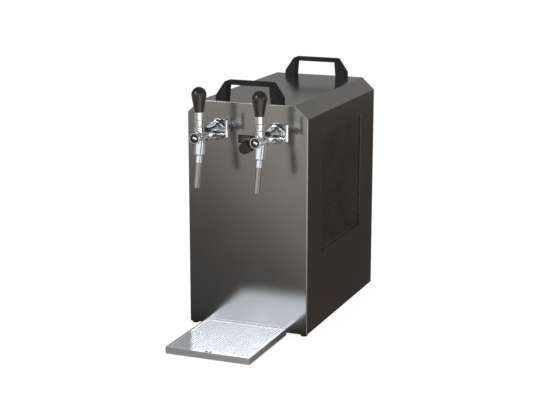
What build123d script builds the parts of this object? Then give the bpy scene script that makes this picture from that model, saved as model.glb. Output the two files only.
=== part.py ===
from build123d import *
import os
from math import atan2, cos, pi, radians, sin, sqrt

# A countertop beer cooler with two compensator taps and a loose drip tray.
# Sizes are millimetres and degrees. X runs across the front, Y from front to back,
# and Z up from the table. The origin is on the table, under the middle of the whole.

# Body: a folded cover between a front and a rear plate, with the top corners sloped.
body_width = 260.0
body_depth = 417.0
body_height = 470.0
corner_run = 28.0
corner_drop = 25.5
foot_gap = 4.0
sheet = 1.0
panel_sheet = 2.0
panel_edge = 1.5
cover_flange = 14.0
base_flange = 20.0

# Clearances.
running = 0.05
slip = 0.02
apart = 0.3
hole_clearance = 0.25

# Feet, pushed into the base.
foot_radius = 7.0
foot_inset_front = 8.5
foot_inset_rear = 30.0
foot_stem_radius = 3.0
foot_button_radius = 4.5
foot_button_height = 2.0
foot_edge = 0.5

# Side grilles.
grille_from_front = 83.0
grille_length = 245.0
grille_low = 155.0
grille_height = 247.0
grille_recess = 4.0
grille_sheet = 1.5
grille_margin = 8.0
grille_border = 9.0
grille_columns = 4
grille_rows = 16
grille_bar = 7.0

# Carrying handles on the top.
handle_width = 141.0
handle_depth = 25.0
handle_height = 41.0
handle_knee = 11.0
handle_top_width = 100.0
handle_gap_foot = 97.4
handle_gap_top = 91.2
handle_bar = 7.5
handle_inset = 5.0
handle_corner = 7.0
handle_edge = 1.2

# Screws.
handle_screw_radius = 2.5
handle_screw_depth = 13.0
rear_screw_radius = 2.0
rear_screw_length = 8.0
screw_head_height = 2.2
screw_head_grow = 1.7
rear_screw_pitch = 190.0
rear_screw_low = 12.0
rear_screw_top_reach = 52.0

# Drip tray and its lift-out grid.
tray_width = 180.0
tray_depth = 195.0
tray_height = 13.0
tray_wall = 1.2
tray_gap = 0.3
tray_shift = -3.0
tray_corner = 2.0
grid_sheet = 1.0
grid_sink = 0.6
grid_border = 7.0
grid_columns = 20
grid_rows = 8
grid_slot_width = 2.8
grid_web = 5.0
lift_hole_radius = 2.4
lift_hole_pitch = 8.0

# Taps. "Out" is the distance in front of the front plate.
tap_spacing = 128.0
tap_height = 413.0
shank_radius = 8.0
shank_bore = 4.0
shank_front = 20.0
shank_rear = 40.0
rose_radius = 20.5
rose_rim = 2.5
rose_height = 10.0
rose_crown = 0.8
shank_nut_flats = 24.0
shank_nut_height = 8.0
coupling_radius = 16.0
coupling_length = 16.0
coupling_notches = 8
coupling_notch = 4.0
coupling_notch_depth = 1.5
coupling_edge = 1.0
tail_radius = 10.5
tail_length = 8.0
chamber_radius = 12.5
chamber_bore = 8.5
chamber_end = 50.0
chamber_floor = 2.0
chamber_grooves = (31.0, 47.5)
chamber_groove = 1.6
ring_radius = 13.5
ring_width = 5.0
neck_radius = 8.0
neck_end = 68.0
barrel_radius = 10.5
barrel_back = 71.0
barrel_front = 101.0
valve_bore = 5.3
seat_bore = 3.5
seat_out = 52.0
hub_radius = 9.75
hub_bore = 8.0
lever_out = 87.0
lever_pivot = 22.0
pour_angle = 27.0
foam_angle = 12.0
ball_radius = 8.0
ball_show = 2.5
collar_low = 26.0
collar_high = 34.5
collar_radius = 9.75
lever_neck_radius = 7.75
ferrule_radius = 9.0
ferrule_top_radius = 8.8
ferrule_high = 48.5
finger_radius = 1.6
finger_tip_radius = 2.5
finger_tip = 3.0
knob_stud_radius = 4.0
knob_stud_depth = 22.0
knob_foot_radius = 9.25
knob_radius = 15.0
knob_length = 49.5
plunger_radius = 5.0
plunger_front = 94.0
plunger_back = 63.5
plunger_notch = 6.2
cap_radius = 11.2
cap_length = 10.0
cap_rim = 2.2
cap_groove_depth = 2.6
cap_button_radius = 5.4
cap_button_rise = 0.8
cap_spigot = 1.5
cap_flare = 1.5
cap_edge = 0.8
cap_bevel = 1.0
cap_taper = 0.6
comp_out = 42.0
comp_down = 0.6
comp_stud_radius = 4.0
comp_boss_radius = 7.0
comp_boss_reach = 18.0
comp_rib_radius = 7.5
comp_ribs = 4
comp_rib_width = 2.2
comp_rib_gap = 1.8
comp_arm_centre = 38.5
comp_arm_radius = 3.75
comp_arm_length = 30.6
comp_arm_sink = 5.5
comp_pin_radius = 1.2
comp_pin_offset = 2.7
comp_pin_start = 45.0
cone_radius = 7.5
cone_tip_radius = 3.0
cone_groove_radius = 4.4
cone_shoulder = 2.2
cone_taper = 11.0
spout_lean = 12.0
spout_out = 80.3
spout_bore = 4.0
spout_boss_radius = 9.6
spout_boss_end = 13.5
nozzle_top_radius = 10.4
nozzle_low_radius = 10.0
nozzle_step = 37.0
nozzle_mid_radius = 6.5
nozzle_end = 53.0
nozzle_spigot = 12.0
nozzle_shoulder = 1.5
spout_tube_radius = 6.15
spout_tube_wall = 1.0
spout_end = 102.7

# Thermostat.
thermostat_height = 380.0
thermostat_knob_radius = 11.75
thermostat_knob_length = 15.0
thermostat_knob_gap = 0.9
thermostat_lobes = 8
thermostat_lobe_radius = 5.0
thermostat_lobe_depth = 0.9
thermostat_lobe_low = 2.0
thermostat_knob_edge = 1.2
thermostat_bushing_radius = 4.8
thermostat_spindle_radius = 3.0
thermostat_spindle_depth = 14.0
thermostat_body = (40.0, 38.0, 32.0)
scale_width = 37.0
scale_height = 17.0
scale_low = 388.0
scale_sheet = 0.5

# Cold block and its foam case.
case_side_gap = 14.0
case_depth = 192.0
case_height = 146.0
case_back_of_panel = 8.0
case_wall = 15.0
base_gap = 1.0

# Beer lines.
inlet_reach = 22.0
inlet_stub_radius = 4.76
inlet_pipe_radius = 4.0
inlet_from_side = 38.0
inlet_pitch = 20.0
inlet_height = 60.0
hose_radius = 4.75
hose_bend = 24.0
hose_run = 30.0

# Compressor.
compressor_from_side = 99.0
compressor_from_front = 300.0
compressor_radius = 62.0
compressor_top = 150.0
compressor_crown = 28.0
compressor_plate = 3.0
compressor_plate_low = 16.0
compressor_plate_size = (144.0, 118.0)
compressor_stud_pitch = (124.0, 98.0)
compressor_seam = 2.5
compressor_port_radius = 5.0
compressor_port_sink = 5.0
compressor_foot_taper = (6.0, 8.0)
compressor_shoulder = (0.85, 0.6)
compressor_flat = 0.45
compressor_seam_half = 2.0
compressor_pad_less = 6.0
grommet_radius = 9.0
grommet_neck = 6.0
grommet_top = 3.0
stud_radius = 3.0
stud_height = 24.0
terminal_box = (20.0, 40.0, 46.0)
terminal_height = 78.0
terminal_edge = 3.0

# Condenser, fan and pipes.
condenser_from_side = 21.0
condenser_thickness = 26.0
condenser_core = 8.0
condenser_from_front = 95.0
condenser_length = 220.0
condenser_low = 170.0
condenser_height = 220.0
condenser_fins = 14
condenser_plate = 1.5
condenser_header = 6.0
return_bends = 2
return_bend_radius = 13.0
pipe_radius = 3.2
pipe_bend = 12.0
shroud_depth = 7.0
shroud_sheet = 1.5
shroud_hole_radius = 84.0
bracket_reach = 54.0
bracket_width = 24.0
bracket_sheet = 2.0
bracket_half_height = 95.0
fan_motor_radius = 30.0
fan_motor_length = 30.0
fan_motor_edge = 2.0
fan_shaft_radius = 3.0
fan_shaft_depth = 26.0
fan_hub_radius = 18.0
fan_hub_length = 15.0
fan_radius = 78.0
fan_blades = 5
fan_chord = 42.0
fan_blade_sheet = 2.0
fan_pitch = 28.0
fan_gap = 3.0
fan_root_sink = 3.0
fan_blade_shift = 1.5
drier_radius = 10.0
drier_length = 80.0
drier_top = 245.0
drier_from_front = 60.0
drier_neck_length = 6.0
drier_cone = 14.0
suction_offset = 52.0
suction_rise = 40.0
suction_cover = 20.0
suction_port = 6.0
discharge_behind = 24.0
discharge_height = 63.0
discharge_sink = 8.0
capillary_radius = 1.5

# Rear fittings.
vent_columns = 2
vent_rows = 10
vent_slot = (78.0, 5.0)
vent_pitch = (94.0, 13.0)
vent_middle = 330.0
switch_from_side = 60.0
switch_height = 60.0
switch_well = (13.6, 20.6)
switch_wall = 2.0
switch_rim = 3.0
switch_rim_height = 2.0
switch_depth = 14.0
rocker_radius = 10.0
rocker_face = 3.5
rocker_vee = 0.28
rocker_tilt = 10.0
rocker_pivot = 1.0
rocker_pin_radius = 1.5
rocker_pin_length = 1.5
gland_from_side = 26.0
gland_height = 60.0
gland_bore = 3.6
gland_stem_radius = 6.0
gland_stem_length = 8.0
gland_hex = 19.0
gland_hex_length = 5.0
gland_hex_taper = 1.0
gland_nose_radius = 7.2
gland_length = 14.0

# Places worked out from the sizes above.
front_y = (tray_gap + tray_depth - body_depth - inlet_reach) / 2
back_y = front_y + body_depth
top_z = foot_gap + body_height
half_width = body_width / 2
inner_x = half_width - sheet
floor_z = foot_gap + sheet
cover_front = front_y + panel_sheet
cover_back = back_y - sheet
tap_places = {"left": -tap_spacing / 2, "right": tap_spacing / 2}
case_front = front_y + case_back_of_panel
case_back = case_front + case_depth
case_low = floor_z + base_gap
case_top = case_low + case_height
case_width = 2 * (inner_x - case_side_gap)
inlet_places = (-half_width + inlet_from_side, -half_width + inlet_from_side + inlet_pitch)
switch_x = half_width - switch_from_side
gland_x = half_width - gland_from_side
condenser_x = inner_x - condenser_from_side
compressor_x = inner_x - compressor_from_side
nose_low = chamber_end + ring_width


def block(x, y, z):
    """A box between the limits given for each axis."""
    middle = [(low + high) / 2 for low, high in (x, y, z)]
    size = [high - low for low, high in (x, y, z)]
    return Pos(*middle) * Box(*size)


def around(centre, size):
    """The limits of a span of the given size about its centre."""
    return (centre - size / 2, centre + size / 2)


def rod(axis, radius, span, at):
    """A cylinder along X, Y or Z, at the two other coordinates."""
    middle = (span[0] + span[1]) / 2
    places = {
        "X": Pos(middle, at[0], at[1]) * Rot(0, 90, 0),
        "Y": Pos(at[0], middle, at[1]) * Rot(90, 0, 0),
        "Z": Pos(at[0], at[1], middle),
    }
    return places[axis] * Cylinder(radius, span[1] - span[0])


def turned(profile):
    """A solid of revolution about Z, from points of radius and height."""
    outline = Polyline([(radius, 0, height) for radius, height in profile], close=True)
    return revolve(make_face(outline), Axis.Z, 360)


def crown(radius, low, high):
    """An arc up to the axis, square to it there, from a point at a radius."""
    rise = high - low
    ball = (radius**2 + rise**2) / (2 * rise)
    half = (atan2(low - high + ball, radius) + pi / 2) / 2
    middle = (ball * cos(half), 0, high - ball + ball * sin(half))
    return ThreePointArc((radius, 0, low), middle, (0, 0, high))


def bent_rod(points, bend, radius):
    """A round bar along straight runs joined by arcs."""
    path = FilletPolyline(points, radius=bend)
    start = Plane(origin=path @ 0, z_dir=path % 0)
    return sweep(start * Circle(radius), path=path)


def body_section(inset):
    """The sloped outline of the body in the XZ plane, moved in by an inset."""
    corners = [
        (-half_width, foot_gap),
        (-half_width, top_z - corner_drop),
        (-half_width + corner_run, top_z),
        (half_width - corner_run, top_z),
        (half_width, top_z - corner_drop),
        (half_width, foot_gap),
    ]
    face = make_face(Plane.XZ * Polyline(corners, close=True))
    return offset(face, -inset, kind=Kind.INTERSECTION) if inset else face


def slab(section, y):
    """A section of the XZ plane pulled out between two places along Y."""
    return extrude(Pos(0, y[0], 0) * section, amount=y[1] - y[0], dir=(0, 1, 0))


def foot_places():
    """The four feet, closer to the corners at the front than at the rear."""
    front = front_y + foot_inset_front
    rear = back_y - foot_inset_rear
    places = []
    for side in (-1, 1):
        places.append((side * (half_width - foot_inset_front), front))
        places.append((side * (half_width - foot_inset_rear), rear))
    return places


def compressor_places():
    """The four mounting studs of the compressor."""
    middle_y = front_y + compressor_from_front
    across, along = compressor_stud_pitch
    return [
        (compressor_x + i * across / 2, middle_y + j * along / 2)
        for i in (-1, 1)
        for j in (-1, 1)
    ]


def rear_screw_places():
    """Screws round the rear plate, through the cover's and the base's flange."""
    side = inner_x - cover_flange / 2
    low = floor_z + rear_screw_low
    places = [(i * side, low + j * rear_screw_pitch) for i in (-1, 1) for j in (0, 1, 2)]
    top = top_z - sheet - cover_flange / 2
    places += [(i * rear_screw_top_reach, top) for i in (-1, 1)]
    places += [(i * rear_screw_top_reach, low) for i in (-1, 1)]
    return places


def base_pan():
    """Floor sheet with turned-up edges and the compressor's studs."""
    pan = block((-inner_x, inner_x), (cover_front, cover_back), (foot_gap, floor_z))
    up = (floor_z, floor_z + base_flange)
    side_y = (cover_front + sheet, cover_back - sheet)
    end_x = inner_x - cover_flange
    for side in (-1, 1):
        edge = sorted((side * inner_x, side * (inner_x - sheet)))
        pan += block(edge, side_y, up)
    pan += block((-end_x, end_x), (cover_front, cover_front + sheet), up)
    pan += block((-end_x, end_x), (cover_back - sheet, cover_back), up)
    for x, y in compressor_places():
        pan += rod("Z", stud_radius, (foot_gap, stud_height), (x, y))
    for x, y in foot_places():
        pan -= rod("Z", foot_stem_radius + running, (0, floor_z + 1), (x, y))
    return pan - rear_screw_holes(cover_back)


def rubber_feet():
    """Four push-in feet."""
    feet = []
    for x, y in foot_places():
        foot = rod("Z", foot_radius, (0, foot_gap), (x, y))
        foot = chamfer(foot.edges().group_by(Axis.Z)[0], foot_edge)
        foot += rod("Z", foot_stem_radius, (foot_gap, floor_z), (x, y))
        button = (floor_z, floor_z + foot_button_height)
        foot += rod("Z", foot_button_radius, button, (x, y))
        feet.append(foot)
    return feet


def rear_screw_holes(y):
    """Clearance holes for the rear screws through whatever lies near y."""
    radius = rear_screw_radius + running
    reach = (y - rear_screw_length, y + rear_screw_length)
    return Part() + [rod("Y", radius, reach, place) for place in rear_screw_places()]


def front_panel():
    """Polished front plate with holes for the taps and the thermostat."""
    panel = slab(body_section(0), (front_y, cover_front))
    panel = fillet(panel.faces().sort_by(Axis.Y)[0].edges(), panel_edge)
    through = (front_y - 1, cover_front + 1)
    for x in tap_places.values():
        hole = shank_radius + hole_clearance
        panel -= rod("Y", hole, through, (x, foot_gap + tap_height))
    hole = thermostat_bushing_radius + hole_clearance
    return panel - rod("Y", hole, through, (0, foot_gap + thermostat_height))


def cover():
    """Folded sheet over the top and sides, with turned-in ends and side windows."""
    length = (cover_front, cover_back)
    inner = body_section(sheet)
    lip = body_section(sheet + cover_flange)
    shell = slab(body_section(0) - inner, length)
    shell += slab(inner - lip, (cover_front, cover_front + sheet))
    shell += slab(inner - lip, (cover_back - sheet, cover_back))
    lip_x = inner_x - cover_flange
    below = (foot_gap - 1, floor_z)
    shell -= block((-inner_x, inner_x), length, below)
    shell -= block((-lip_x, lip_x), length, (floor_z - 1, floor_z + cover_flange + 1))
    window_y = (front_y + grille_from_front, front_y + grille_from_front + grille_length)
    window_z = (foot_gap + grille_low, foot_gap + grille_low + grille_height)
    shell -= block((-half_width - 1, half_width + 1), window_y, window_z)
    for x, y in handle_screw_places():
        hole = handle_screw_radius + hole_clearance
        shell -= rod("Z", hole, (top_z - sheet - 1, top_z + 1), (x, y))
    return shell - rear_screw_holes(cover_back)


def rear_panel():
    """Rear plate with air slots and openings for the pipes, switch and cable."""
    panel = slab(body_section(0), (cover_back, back_y))
    through = (cover_back - 1, back_y + 1)
    for i in range(vent_columns):
        for j in range(vent_rows):
            x = (i - (vent_columns - 1) / 2) * vent_pitch[0]
            z = foot_gap + vent_middle + (j - (vent_rows - 1) / 2) * vent_pitch[1]
            panel -= block(around(x, vent_slot[0]), through, around(z, vent_slot[1]))
    for x in inlet_places:
        hole = inlet_pipe_radius + hole_clearance
        panel -= rod("Y", hole, through, (x, foot_gap + inlet_height))
    stem = gland_stem_radius + running
    panel -= rod("Y", stem, through, (gland_x, foot_gap + gland_height))
    well = [size / 2 + switch_wall for size in switch_well]
    switch_z = foot_gap + switch_height
    cut_x = (switch_x - well[0], switch_x + well[0])
    panel -= block(cut_x, through, (switch_z - well[1], switch_z + well[1]))
    return panel - rear_screw_holes(back_y)


def rear_screws():
    """Pan-head screws of the rear plate."""
    screws = []
    for place in rear_screw_places():
        shank = rod("Y", rear_screw_radius, (back_y - rear_screw_length, back_y), place)
        radius = rear_screw_radius + screw_head_grow
        head = rod("Y", radius, (back_y, back_y + screw_head_height), place)
        screws.append(head + shank)
    return screws


def side_grille(side):
    """Recessed grille behind a side window, on a raised rim inside the cover."""
    deep = inner_x - (grille_recess - sheet)
    y = front_y + grille_from_front + grille_length / 2
    z = foot_gap + grille_low + grille_height / 2
    outer_y = around(y, grille_length + 2 * grille_margin)
    outer_z = around(z, grille_height + 2 * grille_margin)
    grille = block((deep - grille_sheet, inner_x), outer_y, outer_z)
    pocket = block((deep, inner_x), around(y, grille_length), around(z, grille_height))
    grille -= pocket
    field_y = grille_length - 2 * grille_border
    field_z = grille_height - 2 * grille_border
    slot_y = (field_y + grille_bar) / grille_columns - grille_bar
    slot_z = (field_z + grille_bar) / grille_rows - grille_bar
    slots = []
    for i in range(grille_columns):
        for j in range(grille_rows):
            at_y = y + (i - (grille_columns - 1) / 2) * (slot_y + grille_bar)
            at_z = z + (j - (grille_rows - 1) / 2) * (slot_z + grille_bar)
            depth = (deep - grille_sheet - 1, deep + 1)
            slots.append(block(depth, around(at_y, slot_y), around(at_z, slot_z)))
    grille -= slots
    return grille if side > 0 else mirror(grille, about=Plane.YZ)


def handle_fronts():
    """Where each handle starts along Y."""
    return {
        "front": front_y + handle_inset,
        "rear": back_y - handle_inset - handle_depth,
    }


def handle_screw_places():
    """One screw up into each leg of each handle."""
    leg = (handle_width + handle_gap_foot) / 4
    places = []
    for start in handle_fronts().values():
        for side in (-1, 1):
            places.append((side * leg, start + handle_depth / 2))
    return places


def handle(start):
    """Moulded arch handle that stands on two legs."""
    half, top = handle_width / 2, handle_top_width / 2
    outer = [
        (-half, top_z),
        (-half, top_z + handle_knee),
        (-top, top_z + handle_height),
        (top, top_z + handle_height),
        (half, top_z + handle_knee),
        (half, top_z),
    ]
    face = make_face(Plane.XZ * Polyline(outer, close=True))
    face = fillet(face.vertices().group_by(Axis.Z)[-1], handle_corner)
    under = top_z + handle_height - handle_bar
    gap = [
        (-handle_gap_foot / 2, top_z - 1),
        (-handle_gap_top / 2, under),
        (handle_gap_top / 2, under),
        (handle_gap_foot / 2, top_z - 1),
    ]
    face -= make_face(Plane.XZ * Polyline(gap, close=True))
    arch = slab(face, (start, start + handle_depth))
    sides = arch.faces().filter_by(Axis.Y)
    rims = [edge for side in sides for edge in side.edges() if edge.center().Z > top_z + 1]
    arch = chamfer(rims, handle_edge)
    for x, y in handle_screw_places():
        deep = handle_screw_depth + running
        hole = rod("Z", handle_screw_radius + slip, (top_z - 1, top_z + deep), (x, y))
        arch -= hole
    return arch


def handle_screws():
    """Screws that hold the handles from inside the cover."""
    screws = []
    under = top_z - sheet
    for place in handle_screw_places():
        shank = rod("Z", handle_screw_radius, (under, top_z + handle_screw_depth), place)
        radius = handle_screw_radius + screw_head_grow
        screws.append(shank + rod("Z", radius, (under - screw_head_height, under), place))
    return screws


def tray_limits():
    """The tray's outline on the table, just in front of the front plate."""
    back = front_y - tray_gap
    return around(tray_shift, tray_width), (back - tray_depth, back)


def drip_tray():
    """Shallow folded tray."""
    x, y = tray_limits()
    tray = block(x, y, (0, tray_height))
    tray = fillet(tray.edges().filter_by(Axis.Z), tray_corner)
    inside = [(low + tray_wall, high - tray_wall) for low, high in (x, y)]
    basin = block(*inside, (tray_wall, tray_height + 1))
    basin = fillet(basin.edges().filter_by(Axis.Z), tray_corner - tray_wall)
    return tray - basin


def drip_grid():
    """Slotted grid with turned-down edges that stand on the tray's floor."""
    inside = [(low + tray_wall + apart, high - tray_wall - apart) for low, high in tray_limits()]
    (x0, x1), (y0, y1) = inside
    top = tray_height - grid_sink
    grid = block((x0, x1), (y0, y1), (top - grid_sheet, top))
    legs = (tray_wall, top - grid_sheet)
    leg_y = (y0 + grid_border, y1 - grid_border)
    grid += block((x0, x0 + grid_sheet), leg_y, legs)
    grid += block((x1 - grid_sheet, x1), leg_y, legs)
    through = (top - grid_sheet - 1, top + 1)
    field_x = x1 - x0 - 2 * grid_border
    field_y = y1 - y0 - 3 * grid_border
    pitch_x = field_x / grid_columns
    pitch_y = (field_y + grid_web) / grid_rows
    middle_y = y1 - grid_border - field_y / 2
    slots = []
    for i in range(grid_columns):
        for j in range(grid_rows):
            at_x = tray_shift + (i - (grid_columns - 1) / 2) * pitch_x
            at_y = middle_y + (j - (grid_rows - 1) / 2) * pitch_y
            slot_y = around(at_y, pitch_y - grid_web)
            slots.append(block(around(at_x, grid_slot_width), slot_y, through))
    for side in (-1, 1):
        at = (tray_shift + side * lift_hole_pitch / 2, y0 + grid_border)
        slots.append(rod("Z", lift_hole_radius, through, at))
    return grid - slots


def tap_frame(x):
    """A tap is drawn with Z out of the front plate and Y up from its axis."""
    return Pos(x, front_y, foot_gap + tap_height) * Rot(90, 0, 0)


def upright(solid):
    """Stands a solid drawn along Z on the lever's line."""
    return Pos(0, 0, lever_out) * Rot(-90, 0, 0) * solid


def leaning(solid):
    """Puts a solid drawn along Z on the spout's line, down and forward."""
    return Pos(0, 0, spout_out) * Rot(90 - spout_lean, 0, 0) * solid


def tap_shank():
    """Threaded tube through the front plate, with a domed rose outside."""
    tube = turned([
        (shank_bore, -shank_rear),
        (shank_radius, -shank_rear),
        (shank_radius, shank_front),
        (shank_bore, shank_front),
    ])
    middle = (rose_radius + coupling_radius) / 2 + rose_rim / 2
    outline = Polyline([
        (shank_radius, 0, rose_height),
        (shank_radius, 0, 0),
        (rose_radius, 0, 0),
        (rose_radius, 0, rose_rim),
    ])
    dome = ThreePointArc(
        (rose_radius, 0, rose_rim),
        (middle, 0, rose_height * rose_crown),
        (coupling_radius - 1, 0, rose_height),
    )
    close = Line((coupling_radius - 1, 0, rose_height), (shank_radius, 0, rose_height))
    rose = revolve(make_face(outline + dome + close), Axis.Z, 360)
    return tube + rose


def shank_nuts():
    """Hexagon nuts behind the front plate."""
    nuts = []
    for x in tap_places.values():
        blank = RegularPolygon(shank_nut_flats / 2, 6, major_radius=False)
        blank -= Circle(shank_radius + slip)
        low = -panel_sheet - shank_nut_height
        nuts.append(tap_frame(x) * Pos(0, 0, low) * extrude(blank, shank_nut_height))
    return nuts


def coupling_nut():
    """Slotted ring nut that pulls the tap against its shank."""
    front = rose_height + coupling_length
    nut = turned([
        (shank_radius + slip, rose_height),
        (coupling_radius, rose_height),
        (coupling_radius, front),
        (tail_radius + slip, front),
        (tail_radius + slip, shank_front),
        (shank_radius + slip, shank_front),
    ])
    nut = chamfer(nut.edges().filter_by(GeomType.CIRCLE).sort_by(SortBy.RADIUS)[-2:], coupling_edge)
    reach = coupling_radius + 1
    notch = block(
        (coupling_radius - coupling_notch_depth, reach),
        around(0, coupling_notch),
        (rose_height - 1, front + 1),
    )
    for i in range(coupling_notches):
        nut -= Rot(0, 0, i * 360 / coupling_notches) * notch
    return nut


def tap_body():
    """Cast body: compensator chamber, neck, valve barrel, hub and spout boss."""
    profile = [(0, shank_front), (tail_radius, shank_front)]
    tail_end = shank_front + tail_length
    profile += [(tail_radius, tail_end), (chamber_radius, tail_end)]
    for groove in chamber_grooves:
        deep = chamber_radius - chamber_groove / 2
        low, high = around(groove, chamber_groove)
        profile += [(chamber_radius, low), (deep, low), (deep, high), (chamber_radius, high)]
    profile += [(chamber_radius, chamber_end), (ring_radius, chamber_end)]
    profile += [(ring_radius, nose_low), (neck_radius, nose_low + ring_width)]
    profile += [(neck_radius, neck_end), (barrel_radius, barrel_back)]
    profile += [(barrel_radius, barrel_front), (0, barrel_front)]
    hub_top = lever_pivot - ball_show
    outer = turned(profile) + upright(rod("Z", hub_radius, (0, hub_top), (0, 0)))
    outer += leaning(rod("Z", spout_boss_radius, (0, spout_boss_end), (0, 0)))
    outer += rod("X", comp_boss_radius, (0, comp_boss_reach), (-comp_down, comp_out))

    chamber_low = shank_front + chamber_floor
    inner = turned([
        (0, shank_front - 1),
        (shank_bore, shank_front - 1),
        (shank_bore, chamber_low),
        (chamber_bore, chamber_low),
        (chamber_bore, chamber_end),
        (seat_bore, chamber_end),
        (seat_bore, seat_out),
        (valve_bore, seat_out),
        (valve_bore, barrel_front + 1),
        (0, barrel_front + 1),
    ])
    socket = Pos(0, lever_pivot, lever_out) * Sphere(ball_radius + apart / 2)
    hub_low = valve_bore + plunger_radius - finger_tip_radius
    inner += socket + upright(rod("Z", hub_bore, (hub_low, hub_top), (0, 0)))
    swing = block(
        around(0, 2 * (finger_tip_radius + apart)),
        (0, hub_low + finger_tip_radius),
        (lever_out - finger_sweep(pour_angle), lever_out + finger_sweep(foam_angle)),
    )
    inner += swing + leaning(rod("Z", spout_bore, (0, spout_boss_end + 1), (0, 0)))
    stud_bore = comp_stud_radius + running
    stud_room = (cone_groove_radius, comp_boss_reach + 1)
    inner += rod("X", stud_bore, stud_room, (-comp_down, comp_out))
    return outer - inner


def finger_sweep(angle):
    """Room beside the hub's axis for the finger of a lever tipped by an angle."""
    arm = lever_pivot - finger_tip
    return arm * sin(radians(angle)) + finger_tip_radius + 2 * apart


def tap_lever():
    """Ball, finger, collar and ferrule of the pouring lever, turned in one."""
    shoulder = sqrt(ball_radius**2 - lever_neck_radius**2)
    lever = Pos(0, 0, lever_pivot) * Sphere(ball_radius)
    lever += rod("Z", finger_radius, (finger_tip, lever_pivot), (0, 0))
    lever += Pos(0, 0, finger_tip) * Sphere(finger_tip_radius)
    lever += turned([
        (0, lever_pivot + shoulder),
        (lever_neck_radius, lever_pivot + shoulder),
        (lever_neck_radius, collar_low),
        (collar_radius, collar_low + 1),
        (collar_radius, collar_high - 1),
        (ferrule_radius, collar_high),
        (ferrule_top_radius, ferrule_high),
        (knob_stud_radius, ferrule_high),
        (knob_stud_radius, ferrule_high + knob_stud_depth),
        (0, ferrule_high + knob_stud_depth),
    ])
    return upright(lever)


def tap_knob():
    """Pear-shaped grip: a cone that runs smoothly into a round top."""
    centre = ferrule_high + knob_length - knob_radius
    rise = centre - ferrule_high
    # The cone touches the ball where its slope meets the ball's tangent.
    reach = sqrt(rise**2 + knob_foot_radius**2 - knob_radius**2)
    span = knob_foot_radius**2 + rise**2
    side = knob_radius * (knob_radius * knob_foot_radius + reach * rise) / span
    down = knob_radius * (reach * knob_foot_radius - knob_radius * rise) / span
    outline = Polyline([
        (0, 0, centre + knob_radius),
        (0, 0, ferrule_high),
        (knob_foot_radius, 0, ferrule_high),
        (side, 0, centre + down),
    ])
    top = crown(side, centre + down, centre + knob_radius)
    knob = revolve(make_face(outline + top), Axis.Z, 360)
    bore = (ferrule_high - 1, ferrule_high + knob_stud_depth + slip)
    return upright(knob - rod("Z", knob_stud_radius + slip, bore, (0, 0)))


def valve_plunger():
    """Sliding plunger with a notch for the lever's finger."""
    plunger = rod("Z", plunger_radius, (plunger_back, plunger_front), (0, 0))
    notch_y = (finger_tip - finger_tip_radius - apart, plunger_radius + 1)
    notch = block(around(0, 4 * plunger_radius), notch_y, around(lever_out, plunger_notch))
    return plunger - notch


def tap_cap():
    """Front cap: raised rim, deep groove and a domed button."""
    front = barrel_front + cap_length
    groove = front - cap_groove_depth
    rim = cap_radius - cap_rim
    outline = Polyline([
        (0, 0, front + cap_button_rise),
        (0, 0, barrel_front - cap_spigot),
        (valve_bore - slip, 0, barrel_front - cap_spigot),
        (valve_bore - slip, 0, barrel_front),
        (barrel_radius, 0, barrel_front),
        (cap_radius, 0, barrel_front + cap_flare),
        (cap_radius, 0, front - cap_bevel),
        (cap_radius - cap_edge, 0, front),
        (rim, 0, front),
        (rim - cap_taper, 0, groove),
        (cap_button_radius, 0, groove),
    ])
    dome = crown(cap_button_radius, groove, front + cap_button_rise)
    return revolve(make_face(outline + dome), Axis.Z, 360)


def compensator_lever():
    """Flow lever: an eccentric stud with ribs outside and an upright arm."""
    at = (-comp_down, comp_out)
    inner = chamber_bore - apart / 2
    lever = rod("X", comp_stud_radius, (inner, comp_arm_centre), at)
    first = comp_boss_reach + apart
    for i in range(comp_ribs):
        low = first + i * (comp_rib_width + comp_rib_gap)
        lever += rod("X", comp_rib_radius, (low, low + comp_rib_width), at)
    arm = (-comp_down - comp_arm_sink, -comp_down + comp_arm_length - comp_arm_radius)
    lever += rod("Y", comp_arm_radius, arm, (comp_arm_centre, comp_out))
    lever += Pos(comp_arm_centre, arm[1], comp_out) * Sphere(comp_arm_radius)
    lift = comp_pin_offset * cos(radians(comp_pin_start))
    back = comp_pin_offset * sin(radians(comp_pin_start))
    pin_x = (cone_groove_radius + apart + comp_pin_radius / 2, inner + 1)
    pin_at = (lift - comp_down, comp_out - back)
    return lever + rod("X", comp_pin_radius, pin_x, pin_at)


def compensator_cone():
    """Flow cone, moved along the chamber by the stud's eccentric pin."""
    groove = comp_out - comp_pin_offset * sin(radians(comp_pin_start))
    half = comp_pin_radius + apart
    front = groove + half + cone_shoulder
    back = groove - half - cone_shoulder
    return turned([
        (0, front),
        (cone_radius, front),
        (cone_radius, groove + half),
        (cone_groove_radius, groove + half),
        (cone_groove_radius, groove - half),
        (cone_radius, groove - half),
        (cone_radius, back),
        (cone_tip_radius, back - cone_taper),
        (0, back - cone_taper),
    ])


def spout_nozzle():
    """Tapered nozzle that ends in a spigot for the spout tube."""
    spigot = spout_tube_radius - spout_tube_wall - slip
    return leaning(turned([
        (spout_bore, spout_boss_end),
        (nozzle_top_radius, spout_boss_end),
        (nozzle_low_radius, nozzle_step),
        (nozzle_mid_radius, nozzle_step + nozzle_shoulder),
        (nozzle_mid_radius, nozzle_end),
        (spigot, nozzle_end),
        (spigot, nozzle_end + nozzle_spigot),
        (spout_bore, nozzle_end + nozzle_spigot),
    ]))


def spout_tube():
    """Steel tube pushed over the nozzle's spigot."""
    return leaning(turned([
        (spout_tube_radius - spout_tube_wall, nozzle_end),
        (spout_tube_radius, nozzle_end),
        (spout_tube_radius, spout_end),
        (spout_tube_radius - spout_tube_wall, spout_end),
    ]))


def panel_frame(z):
    """Z out of the front plate and Y up, at a height on its middle line."""
    return Pos(0, front_y, foot_gap + z) * Rot(90, 0, 0)


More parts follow.
